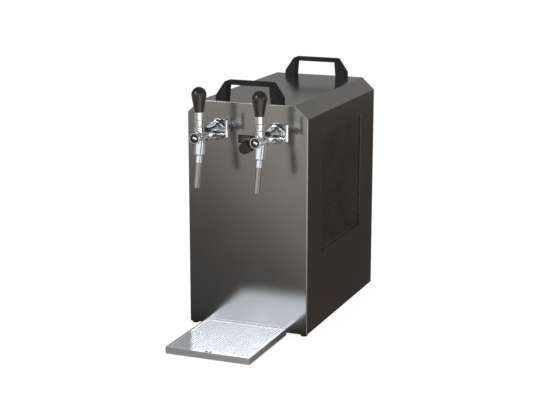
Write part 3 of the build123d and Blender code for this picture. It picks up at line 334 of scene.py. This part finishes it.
def make_piece(name, shape, finish, body, replaced, edge=0.0, smooth=True):
    """Turns a mesh drawn in millimetres into a piece that rides a body."""
    bmesh.ops.remove_doubles(shape, verts=shape.verts, dist=WELD)
    bmesh.ops.recalc_face_normals(shape, faces=shape.faces)
    for face in shape.faces:
        face.smooth = smooth
    for line in shape.edges:
        if line.is_manifold and line.calc_face_angle() > radians(CREASE):
            line.smooth = False
    bmesh.ops.transform(shape, matrix=Matrix.Scale(MM, 4), verts=shape.verts)
    mesh = bpy.data.meshes.new(name)
    shape.to_mesh(mesh)
    shape.free()
    mesh.materials.append(finish)
    piece = bpy.data.objects.new(name, mesh)
    bpy.context.scene.collection.objects.link(piece)
    if edge:
        ease = piece.modifiers.new("eased_edges", "BEVEL")
        ease.width = edge * MM
        ease.segments = EASE_STEPS
        ease.limit_method = "ANGLE"
        ease.angle_limit = radians(CREASE)
    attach(piece, body)
    if replaced:
        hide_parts(*replaced)
    return piece


def ringed(radius, height, count):
    """A ring of points about Z."""
    turn = 2 * pi / count
    return [Vector((radius * cos(i * turn), radius * sin(i * turn), height)) for i in range(count)]


def skin(shape, rings, place=Matrix(), closed=False):
    """Joins rings of points with faces, and caps the first and last unless it closes."""
    laid = [[shape.verts.new(place @ point) for point in ring] for ring in rings]
    pairs = list(zip(laid, laid[1:])) + ([(laid[-1], laid[0])] if closed else [])
    for low, high in pairs:
        for i in range(len(low)):
            j = (i + 1) % len(low)
            shape.faces.new((low[i], low[j], high[j], high[i]))
    if not closed:
        shape.faces.new(laid[0][::-1])
        shape.faces.new(laid[-1])


def turn_up(shape, profile, place, count, closed=False):
    """A turned shape from points of radius and height."""
    skin(shape, [ringed(radius, height, count) for radius, height in profile], place, closed)


def eased_copy(node, body, slot, edge):
    """A carried-over solid whose sharp corners are broken as a maker would break them."""
    shape = bmesh.new()
    shape.from_mesh(nodes[node].data)
    bmesh.ops.transform(shape, matrix=Matrix.Scale(1 / MM, 4), verts=shape.verts)
    return make_piece(node + "_eased", shape, finishes[slot], body, (node,), edge)


# --- Camera --------------------------------------------------------------------------

# Fitted to the corners of the case in the photograph's 537 x 410 frame, without a shift.
# The sensor and lens are millimetres, the place is metres to the right, ahead of the front
# plate and up, and the angles are radians downwards and to the left.
SENSOR, LENS = 36.0, 95.53
CAMERA_RIGHT, CAMERA_AHEAD, CAMERA_UP = 1.100, 2.579, 0.942
LOOK_DOWN, LOOK_LEFT = 0.2369, 0.3877

view = bpy.data.cameras.new("camera")
view.sensor_width = SENSOR
view.lens = LENS
camera = bpy.data.objects.new("camera", view)
bpy.context.scene.collection.objects.link(camera)
camera.location = (CAMERA_RIGHT, front_y * MM - CAMERA_AHEAD, CAMERA_UP)
camera.rotation_euler = (pi / 2 - LOOK_DOWN, 0, LOOK_LEFT)
bpy.context.scene.camera = camera


# --- Perforated sheets ---------------------------------------------------------------

def cell_ring(centre, size, counts):
    """Points round a cell's border, from its lower left corner, as many on facing sides."""
    (x, y), (wide, high), (across, up) = centre, size, counts
    x0, y0 = x - wide / 2, y - high / 2
    ring = [(x0 + wide * i / across, y0) for i in range(across)]
    ring += [(x0 + wide, y0 + high * i / up) for i in range(up)]
    ring += [(x0 + wide * (across - i) / across, y0 + high) for i in range(across)]
    ring += [(x0, y0 + high * (up - i) / up) for i in range(up)]
    return ring


def holed_cell(shape, place, centre, size, counts, radius):
    """A cell of sheet with a round hole in its middle, or a plain one where radius is 0."""
    border = cell_ring(centre, size, counts)
    outer = [shape.verts.new(place @ Vector((x, y, 0))) for x, y in border]
    if not radius:
        shape.faces.new(outer)
        return
    inner = []
    for x, y in border:
        angle = atan2(y - centre[1], x - centre[0])
        at = Vector((centre[0] + radius * cos(angle), centre[1] + radius * sin(angle), 0))
        inner.append(shape.verts.new(place @ at))
    for i in range(len(outer)):
        j = (i + 1) % len(outer)
        shape.faces.new((outer[i], outer[j], inner[j], inner[i]))


def perforate(shape, place, span_x, span_y, field_x, field_y, columns, rows, radius, counts):
    """A sheet with staggered round holes in a field, inside a plain border. counts are the
    parts that a cell's sides are in, across and up."""
    step_x = (field_x[1] - field_x[0]) / columns
    step_y = (field_y[1] - field_y[0]) / (rows + 0.5)
    across, up = counts
    for i in range(columns):
        x = field_x[0] + (i + 0.5) * step_x
        shift = 0.5 * (i % 2)
        for j in range(rows):
            y = field_y[0] + (j + 0.5 + shift) * step_y
            holed_cell(shape, place, (x, y), (step_x, step_y), counts, radius)
        spare = field_y[0] + step_y / 4 if shift else field_y[1] - step_y / 4
        holed_cell(shape, place, (x, spare), (step_x, step_y / 2), (across, up // 2), 0)
    edge_x = [field_x[0] + step_x * i / across for i in range(columns * across + 1)]
    edge_y = [field_y[0] + step_y * i / up for i in range(int((rows + 0.5) * up) + 1)]
    (x0, x1), (y0, y1) = span_x, span_y
    borders = [
        [(x0, y0), (x1, y0)] + [(x, field_y[0]) for x in reversed(edge_x)],
        [(x1, y1), (x0, y1)] + [(x, field_y[1]) for x in edge_x],
        [(x0, y1), (x0, y0)] + [(field_x[0], y) for y in edge_y],
        [(x1, y0), (x1, y1)] + [(field_x[1], y) for y in reversed(edge_y)],
    ]
    for border in borders:
        shape.faces.new([shape.verts.new(place @ Vector((x, y, 0))) for x, y in border])


def thicken(piece, depth):
    """Gives a sheet its thickness, down from its drawn face."""
    sheet = piece.modifiers.new("sheet_thickness", "SOLIDIFY")
    sheet.thickness = depth * MM
    sheet.offset = -1.0


# Drip grid: 3.3 mm holes, staggered, in a bright sheet that drops into the tray.
GRID_HOLE_RADIUS = 1.65
GRID_COLUMNS, GRID_ROWS, GRID_COUNTS = 31, 27, (4, 4)
GRID_BORDER, GRID_FRONT = 6.5, 12.0
GRID_SHEET = 1.0
GRID_LEG_GAP, GRID_LEG_EDGE = 7.0, 0.2

low, high = [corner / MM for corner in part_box("drip_grid")]
grid = bmesh.new()
perforate(
    grid, Matrix.Translation((0, 0, high.z)), (low.x, high.x), (low.y, high.y),
    (low.x + GRID_BORDER, high.x - GRID_BORDER), (low.y + GRID_FRONT, high.y - GRID_BORDER),
    GRID_COLUMNS, GRID_ROWS, GRID_HOLE_RADIUS, GRID_COUNTS)
grid_piece = make_piece("drip_grid_perforated", grid, finishes["grid_steel"], "drip_grid",
                        ("drip_grid",), smooth=False)
thicken(grid_piece, GRID_SHEET)

grid_legs = bmesh.new()
for x in (low.x, high.x - GRID_SHEET):
    leg = [Vector((x + dx, y, 0)) for dx, y in (
        (0, low.y + GRID_LEG_GAP), (GRID_SHEET, low.y + GRID_LEG_GAP),
        (GRID_SHEET, high.y - GRID_LEG_GAP), (0, high.y - GRID_LEG_GAP))]
    skin(grid_legs, [[p + Vector((0, 0, z)) for p in leg] for z in (low.z, high.z - GRID_SHEET)])
make_piece("drip_grid_legs", grid_legs, finishes["grid_steel"], "drip_grid", (),
           GRID_LEG_EDGE)

# The two finger holes near the grid's front edge, each a rolled lip round a shallow closed dish,
# all in black plastic: painted shade that stands in for the dark of an open hole.
LIFT_HOLE, LIFT_PITCH, LIFT_IN = 2.6, 9.0, 6.2
LIP_OUT, LIP_RISE, LIP_IN, LIP_SINK, LIFT_CENTRE = 0.5, 0.25, 0.3, 0.2, 0.01
LIFT_COUNT = 32
LIFT = [(LIFT_HOLE + LIP_OUT, 0.0), (LIFT_HOLE, LIP_RISE), (LIFT_HOLE - LIP_IN, 0.0),
        (LIFT_HOLE - LIP_IN, -LIP_SINK), (LIFT_CENTRE, -LIP_SINK)]

lift = bmesh.new()
middle_x = (low.x + high.x) / 2
for side in (-1, 1):
    at = Matrix.Translation((middle_x + side * LIFT_PITCH / 2, low.y + LIFT_IN, high.z))
    turn_up(lift, LIFT, at, LIFT_COUNT)
make_piece("finger_hole_shade", lift, finishes["dial_knob"], "drip_grid", ())

# Side grilles: coated steel, with 4 mm holes on a 6 mm pitch, set back from the cover.
GRILLE_MARGIN, GRILLE_BORDER, GRILLE_SHEET = 8.0, 5.0, 1.5
GRILLE_HOLE_RADIUS, GRILLE_PITCH, GRILLE_COUNTS = 2.0, 6.0, (2, 4)
GRILLE_RECESS, GRILLE_RIM_EDGE = 3.0, 0.4

for side, sign in zip(SIDES, (-1, 1)):
    node = "side_grille_" + side
    low, high = [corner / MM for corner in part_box(node)]
    inner_x = high.x if sign > 0 else low.x
    recess_x = inner_x - sign * GRILLE_RECESS
    stand = Matrix(((0, 0, sign, recess_x), (1, 0, 0, 0), (0, 1, 0, 0), (0, 0, 0, 1)))
    field_y = (low.y + GRILLE_MARGIN + GRILLE_BORDER, high.y - GRILLE_MARGIN - GRILLE_BORDER)
    field_z = (low.z + GRILLE_MARGIN + GRILLE_BORDER, high.z - GRILLE_MARGIN - GRILLE_BORDER)
    grille = bmesh.new()
    perforate(
        grille, stand, (low.y, high.y), (low.z, high.z), field_y, field_z,
        round((field_y[1] - field_y[0]) / GRILLE_PITCH),
        round((field_z[1] - field_z[0]) / GRILLE_PITCH),
        GRILLE_HOLE_RADIUS, GRILLE_COUNTS)
    sheet = make_piece("grille_sheet_" + side, grille, finishes["grille_plastic"], "cooler",
                       (node,), smooth=False)
    thicken(sheet, GRILLE_SHEET)
    rim = bmesh.new()
    outer, inner = [
        [(low.y + margin, low.z + margin), (high.y - margin, low.z + margin),
         (high.y - margin, high.z - margin), (low.y + margin, high.z - margin)]
        for margin in (0.0, GRILLE_MARGIN)]
    rings = [[Vector((x, y, z)) for y, z in ring] for x, ring in (
        (recess_x, outer), (inner_x, outer), (inner_x, inner), (recess_x, inner))]
    skin(rim, rings, closed=True)
    make_piece("grille_rim_" + side, rim, finishes["grille_plastic"], "cooler", (),
               GRILLE_RIM_EDGE)


# --- Eased copies of the solids that show --------------------------------------------

for node, body, slot, edge in (
    ("drip_tray", "drip_tray", "tray_steel", 0.35),
    ("thermostat_knob", "thermostat_dial", "dial_knob", 0.4),
    ("rubber_feet", "cooler", "foot_rubber", 0.4),
    ("switch_frame", "cooler", "switch_plastic", 0.4),
    ("switch_rocker", "rocker", "rocker_plastic", 0.4),
    ("cable_gland", "cooler", "gland_plastic", 0.4),
):
    eased_copy(node, body, slot, edge)
for side in SIDES:
    for node, body, edge in (
        ("coupling_nut_", "cooler", 0.35),
        ("tap_body_", "cooler", 0.3),
        ("tap_cap_", "cooler", 0.25),
        ("compensator_lever_", "flow_lever_" + side, 0.3),
        ("spout_nozzle_", "cooler", 0.3),
    ):
        eased_copy(node + side, body, "tap_chrome", edge)


# --- Dial print ----------------------------------------------------------------------

# Above the knob: tick marks, a cold wedge that widens clockwise, and plain numbers 1 to 7.
DIAL_NUMBERS = 7
DIAL_SWEEP = 84.0
DIAL_TICKS = 13
TICK_LONG, TICK_SHORT, TICK_HALF = 2.0, 1.2, 0.2
WEDGE_STEPS, WEDGE_THIN, WEDGE_THICK = 24, 0.3, 1.5
NUMBER_SIZE = 3.6
TICK_RADIUS, WEDGE_RADIUS, NUMBER_RADIUS = 14.2, 17.6, 21.6
PRINT_DEPTH = 0.05

low, high = [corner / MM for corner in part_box("thermostat_scale")]
knob_low, knob_high = [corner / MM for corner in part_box("thermostat_knob")]
dial = Matrix.Translation(
    ((knob_low.x + knob_high.x) / 2, low.y, (knob_low.z + knob_high.z) / 2))


def dial_turn(share):
    """The dial's angle at a share of its sweep."""
    return radians(DIAL_SWEEP * (share - 0.5))


def printed(shape, outline):
    """A flat outline in X and Z, printed on the dial plate."""
    skin(shape, [[dial @ Vector((x, y, z)) for x, z in outline] for y in (-PRINT_DEPTH, 0)])


ticks = bmesh.new()
for i in range(DIAL_TICKS):
    angle = dial_turn(i / (DIAL_TICKS - 1))
    end = TICK_RADIUS + (TICK_SHORT if i % 2 else TICK_LONG)
    printed(ticks, [
        (radius * sin(angle) + across * cos(angle), radius * cos(angle) - across * sin(angle))
        for radius, across in ((TICK_RADIUS, -TICK_HALF), (TICK_RADIUS, TICK_HALF),
                               (end, TICK_HALF), (end, -TICK_HALF))])
for i in range(WEDGE_STEPS):
    outline = []
    for share, side in ((i, 0), (i + 1, 0), (i + 1, 1), (i, 1)):
        share /= WEDGE_STEPS
        radius = WEDGE_RADIUS + side * (WEDGE_THIN + share * (WEDGE_THICK - WEDGE_THIN))
        outline.append((radius * sin(dial_turn(share)), radius * cos(dial_turn(share))))
    printed(ticks, outline)
make_piece("dial_ticks", ticks, ink, "cooler", (), smooth=False)

numbers = bmesh.new()
for i in range(DIAL_NUMBERS):
    angle = dial_turn(i / (DIAL_NUMBERS - 1))
    figure = bpy.data.curves.new("figure", "FONT")
    figure.body = str(i + 1)
    figure.size = NUMBER_SIZE
    figure.align_x, figure.align_y = "CENTER", "CENTER"
    figure.extrude = PRINT_DEPTH / 2
    sample = bpy.data.objects.new("figure", figure)
    drawn = bpy.data.meshes.new_from_object(sample)
    at = Matrix.Translation(
        (NUMBER_RADIUS * sin(angle), -PRINT_DEPTH / 2, NUMBER_RADIUS * cos(angle)))
    drawn.transform(dial @ at @ Matrix.Rotation(pi / 2, 4, "X"))
    numbers.from_mesh(drawn)
    bpy.data.objects.remove(sample)
make_piece("dial_numbers", numbers, ink, "cooler", (), smooth=False)


# --- Small parts of the taps, the rear and the switch --------------------------------

# A black rubber ring in the groove of each tap's front cap, as painted shade: it darkens the
# groove, where only shade falls.
SHADE_RING = [(5.6, 0.0), (8.8, 0.0), (8.8, 0.6), (5.6, 0.6)]
SHADE_RING_DEPTH = 3.4
SHADE_RING_COUNT = 64

for side in SIDES:
    low, high = [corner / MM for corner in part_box("tap_cap_" + side)]
    shade_ring = bmesh.new()
    at = Matrix.Translation(((low.x + high.x) / 2, low.y + SHADE_RING_DEPTH, (low.z + high.z) / 2))
    turn_up(shade_ring, SHADE_RING, at @ Matrix.Rotation(pi / 2, 4, "X"), SHADE_RING_COUNT, closed=True)
    make_piece("tap_cap_seal_" + side, shade_ring, finishes["foot_rubber"], "cooler", ())

# Rear screws: pan heads with a cross recess. Each head and its shank is one stack of rings,
# whose points lie at the corners of the cross. The pan's rounding is in shares of the
# head's radius and height.
SCREW_PITCH, SCREW_REACH = 190.0, 52.0
SHANK, SHANK_LENGTH = 2.0, 8.0
HEAD, HEAD_HEIGHT, HEAD_SHOULDER = 3.7, 2.2, 1.3
HEAD_ROUNDING = ((0.88, 0.85), (0.66, 0.98))
CROSS_ARM, CROSS_HALF, CROSS_DEPTH = 2.0, 0.45, 1.2
ARM_CORNER = atan2(CROSS_HALF, CROSS_ARM)
ARM_TURNS = (-pi / 4, -pi / 7, -ARM_CORNER, 0.0, ARM_CORNER, pi / 7)


def crossed(height):
    """The cross recess's outline at a height."""
    ring = []
    for arm in range(4):
        for turn in ARM_TURNS:
            reach = CROSS_ARM / cos(turn)
            if abs(turn) > ARM_CORNER:
                reach = CROSS_HALF / sin(abs(turn))
            angle = turn + arm * pi / 2
            ring.append(Vector((reach * cos(angle), reach * sin(angle), height)))
    return ring


def rounded(radius, height):
    """A circle with its points at the angles of the cross."""
    return [(Vector((point.x, point.y, 0)).normalized() * radius) + Vector((0, 0, height))
            for point in crossed(0)]


low, high = [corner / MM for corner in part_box("rear_screws")]
side_x, floor_z, roof_z = high.x - HEAD, low.z + HEAD, high.z - HEAD
seat_y = high.y - HEAD_HEIGHT
places = [(sign * side_x, floor_z + row * SCREW_PITCH) for sign in (-1, 1) for row in range(3)]
places += [(sign * SCREW_REACH, z) for sign in (-1, 1) for z in (floor_z, roof_z)]
screw_rings = [
    rounded(SHANK, -SHANK_LENGTH), rounded(SHANK, 0), rounded(HEAD, 0),
    rounded(HEAD, HEAD_SHOULDER),
    *(rounded(HEAD * wide, HEAD_HEIGHT * tall) for wide, tall in HEAD_ROUNDING),
    crossed(HEAD_HEIGHT), crossed(HEAD_HEIGHT - CROSS_DEPTH),
]
screws = bmesh.new()
for x, z in places:
    skin(screws, screw_rings,
         Matrix.Translation((x, seat_y, z)) @ Matrix.Rotation(-pi / 2, 4, "X"))
make_piece("rear_screws_crossed", screws, finishes["zinc_screws"], "cooler", ("rear_screws",))

# The on and off marks, printed on the two faces of the rocker: a bar and a ring.
ROCKER_RADIUS, ROCKER_FACE, ROCKER_VEE, ROCKER_TILT = 10.0, 3.5, 0.28, 10.0
MARK_OUT, MARK_RISE, MARK_HALF, MARK_COUNT = 5.5, 3.2, 0.3, 32
OFF_RING = [(1.15, 0.0), (1.65, 0.0), (1.65, PRINT_DEPTH), (1.15, PRINT_DEPTH)]
ON_BAR = [(-MARK_HALF, -MARK_RISE / 2), (MARK_HALF, -MARK_RISE / 2),
          (MARK_HALF, MARK_RISE / 2), (-MARK_HALF, MARK_RISE / 2)]

low, high = [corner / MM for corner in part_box("switch_rocker")]
pivot = Matrix.Translation(
    ((low.x + high.x) / 2, low.y + ROCKER_RADIUS, (low.z + high.z) / 2))
pivot @= Matrix.Rotation(radians(ROCKER_TILT), 4, "X")
marks = bmesh.new()
for side in (1, -1):
    at = pivot @ Matrix.Translation((0, ROCKER_FACE + ROCKER_VEE * MARK_OUT, side * MARK_OUT))
    at @= Matrix.Rotation(-side * atan2(ROCKER_VEE, 1) - pi / 2, 4, "X")
    if side > 0:
        skin(marks, [[Vector((x, y, z)) for x, y in ON_BAR] for z in (0, PRINT_DEPTH)], at)
    else:
        turn_up(marks, OFF_RING, at, MARK_COUNT, closed=True)
make_piece("rocker_marks", marks, ink, "rocker", (), smooth=False)


# --- Room ----------------------------------------------------------------------------

scene = bpy.context.scene
scene.view_settings.view_transform = "Standard"

# The floor is white to the eye and keeps the shadow. In the steel it is a sweep that is
# bright to the front right, and falls off into shade near the object and to its sides.
FLOOR = 40.0
half = FLOOR / 2
floor_mesh = bpy.data.meshes.new("floor")
floor_mesh.from_pydata([(-half, -half, 0), (half, -half, 0), (half, half, 0), (-half, half, 0)],
                       [], [(0, 1, 2, 3)])
floor = bpy.data.objects.new("floor", floor_mesh)
scene.collection.objects.link(floor)


def zoned(tree, tone, zones):
    """Lays zones over a tone, each over those before it. A zone is the coordinate it depends
    on, where it starts, where it is full, and its own tone."""
    for along, start, full, own in zones:
        share = add_node(tree, "MapRange", {"Value": along, "From Min": start, "From Max": full},
                         interpolation_type="SMOOTHSTEP")
        laid = add_node(tree, "Mix", {0: share.outputs[0], 6: tone, 7: own}, data_type="RGBA")
        tone = laid.outputs[2]
    return tone


paper = bpy.data.materials.new("white_paper_sweep")
paper.use_nodes = True
tree = paper.node_tree
tree.nodes.clear()
rays = add_node(tree, "LightPath").outputs
spot = add_node(tree, "TexCoord").outputs["Object"]
place = add_node(tree, "SeparateXYZ", {"Vector": spot}).outputs
lead = add_node(tree, "Math", {0: front_y * MM, 1: place["Y"]}, operation="SUBTRACT")
ahead = lead.outputs[0]

# The fall of the sweep, as tones against metres ahead of the front plate plus SLANT times
# the metres to the right.
SLANT = 1.33
SWEEP = (
    (-0.5, (0.076, 0.080, 0.084)), (-0.05, (0.112, 0.114, 0.116)), (0.27, (0.182, 0.174, 0.170)),
    (0.61, (0.46, 0.43, 0.41)), (0.96, (0.64, 0.62, 0.58)), (1.5, (0.69, 0.67, 0.63)),
)
slanted = add_node(tree, "Math", {0: place["X"], 1: SLANT, 2: ahead}, operation="MULTIPLY_ADD")
first, last = SWEEP[0][0], SWEEP[-1][0]
shade = add_node(tree, "MapRange", {
    "Value": slanted.outputs[0], "From Min": first, "From Max": last})
fall = add_node(tree, "ValToRGB", {"Fac": shade.outputs["Result"]})
stops = fall.color_ramp.elements
while len(stops) < len(SWEEP):
    stops.new(0.5)
for stop, (at, tone) in zip(stops, SWEEP):
    stop.position = (at - first) / (last - first)
    stop.color = tone + (1.0,)

# From the front plate backwards the sweep is in shade. Beyond what the plate and the right
# side mirror to the camera it is lighter, and brightest in the corner to the front right.
FAR_SLANT, CORNER_LAG = 0.41, 0.18
SHADED_REAR, FAR_RIGHT = (0.057, 0.049, 0.041, 1.0), (0.26, 0.25, 0.24, 1.0)
FAR_LEFT, LIT_CORNER = (0.40, 0.39, 0.38, 1.0), (1.6, 1.58, 1.55, 1.0)
leftward = add_node(tree, "Math", {0: ahead, 1: FAR_SLANT, 2: place["X"]},
                    operation="MULTIPLY_ADD")
lagged = add_node(tree, "Math", {0: ahead, 1: CORNER_LAG}, operation="SUBTRACT")
corner = add_node(tree, "Math", {0: place["X"], 1: lagged.outputs[0]}, operation="MINIMUM")
sweep = zoned(tree, fall.outputs["Color"], (
    (ahead, 0.12, 0.0, SHADED_REAR),
    (place["X"], 1.0, 1.9, FAR_RIGHT),
    (leftward.outputs[0], -0.4, -0.9, FAR_LEFT),
    (corner.outputs[0], 0.12, 0.4, LIT_CORNER),
))

# To the camera the paper glows just short of white, and its matt part brings it up to white
# where no shadow falls. To the object it is plain matt paper.
GLOW, SHADOW_GREY, PAPER_GREY = 0.86, 0.22, 0.8
seen = add_node(tree, "Emission", {"Color": (1, 1, 1, 1), "Strength": GLOW})
matt = add_node(tree, "BsdfDiffuse", {"Color": (SHADOW_GREY, SHADOW_GREY, SHADOW_GREY, 1)})
shown = add_node(tree, "AddShader", {0: seen.outputs[0], 1: matt.outputs[0]})
lit = add_node(tree, "BsdfDiffuse", {"Color": (PAPER_GREY, PAPER_GREY, PAPER_GREY, 1)})
mirrored = add_node(tree, "Emission", {"Color": sweep, "Strength": 1.0})
bounced = add_node(tree, "MixShader", {
    0: rays["Is Glossy Ray"], 1: lit.outputs[0], 2: mirrored.outputs[0]})
final = add_node(tree, "MixShader", {
    0: rays["Is Camera Ray"], 1: bounced.outputs[0], 2: shown.outputs[0]})
add_node(tree, "OutputMaterial", {"Surface": final.outputs[0]})
floor_mesh.materials.append(paper)

# The room: white to the eye. In the steel it has a bright wall in front of the object, with
# a window band higher up, dim walls behind, a strip at its right and a dark ceiling. The
# band is only as wide as the two zones leave it that lay the wall's own tone over it again.
FRONT_WALL = (1.05, 1.1, 1.15, 1.0)
FRONT_BAND = (14.4, 15.0, 15.6, 1.0)
FRONT_RIGHT, BACK_WALL, SIDE_STRIP, CEILING, ROOM_FILL, PAPER_WHITE = [
    (tone, tone, tone, 1.0) for tone in (0.3, 0.23, 1.3, 0.05, 0.6, 1.0)]
room = bpy.data.worlds.new("studio")
scene.world = room
room.use_nodes = True
tree = room.node_tree
tree.nodes.clear()
rays = add_node(tree, "LightPath").outputs
course = add_node(tree, "TexCoord").outputs["Generated"]
way = add_node(tree, "SeparateXYZ", {"Vector": course}).outputs
hall = zoned(tree, FRONT_WALL, (
    (way["Z"], 0.32, 0.365, FRONT_BAND),
    (way["X"], -0.31, -0.22, FRONT_WALL),
    (way["X"], -0.5, -0.6, FRONT_WALL),
    (way["X"], 0.5, 0.7, FRONT_RIGHT),
    (way["Y"], -0.55, -0.3, BACK_WALL),
    (way["X"], 0.86, 0.97, SIDE_STRIP),
    (way["Z"], 0.37, 0.44, CEILING),
    (rays["Is Glossy Ray"], 1.0, 0.0, ROOM_FILL),
    (rays["Is Camera Ray"], 0.0, 1.0, PAPER_WHITE),
))
sky = add_node(tree, "Background", {"Color": hall})
add_node(tree, "OutputWorld", {"Surface": sky.outputs[0]})

# Three softboxes: a small key at the upper left, which is the spark on the knobs, and two
# that only light the matt surfaces, at the right and overhead. Places and sizes are metres.
for name, at, aim, size, watts, in_mirrors in (
    ("key_softbox", (-1.5, -2.2, 2.2), (0, 0, 0.35), (0.45, 0.55), 14.0, True),
    ("fill_softbox", (2.4, -1.0, 1.6), (0, 0, 0.3), (1.0, 1.4), 10.0, False),
    ("top_softbox", (0.0, 0.2, 2.6), (0, 0, 0.2), (1.4, 1.4), 19.0, False),
):
    lamp = bpy.data.lights.new(name, "AREA")
    lamp.shape = "RECTANGLE"
    lamp.size, lamp.size_y = size
    lamp.energy = watts
    holder = bpy.data.objects.new(name, lamp)
    scene.collection.objects.link(holder)
    holder.location = at
    holder.rotation_euler = (Vector(aim) - Vector(at)).to_track_quat("-Z", "Y").to_euler()
    holder.visible_glossy = in_mirrors
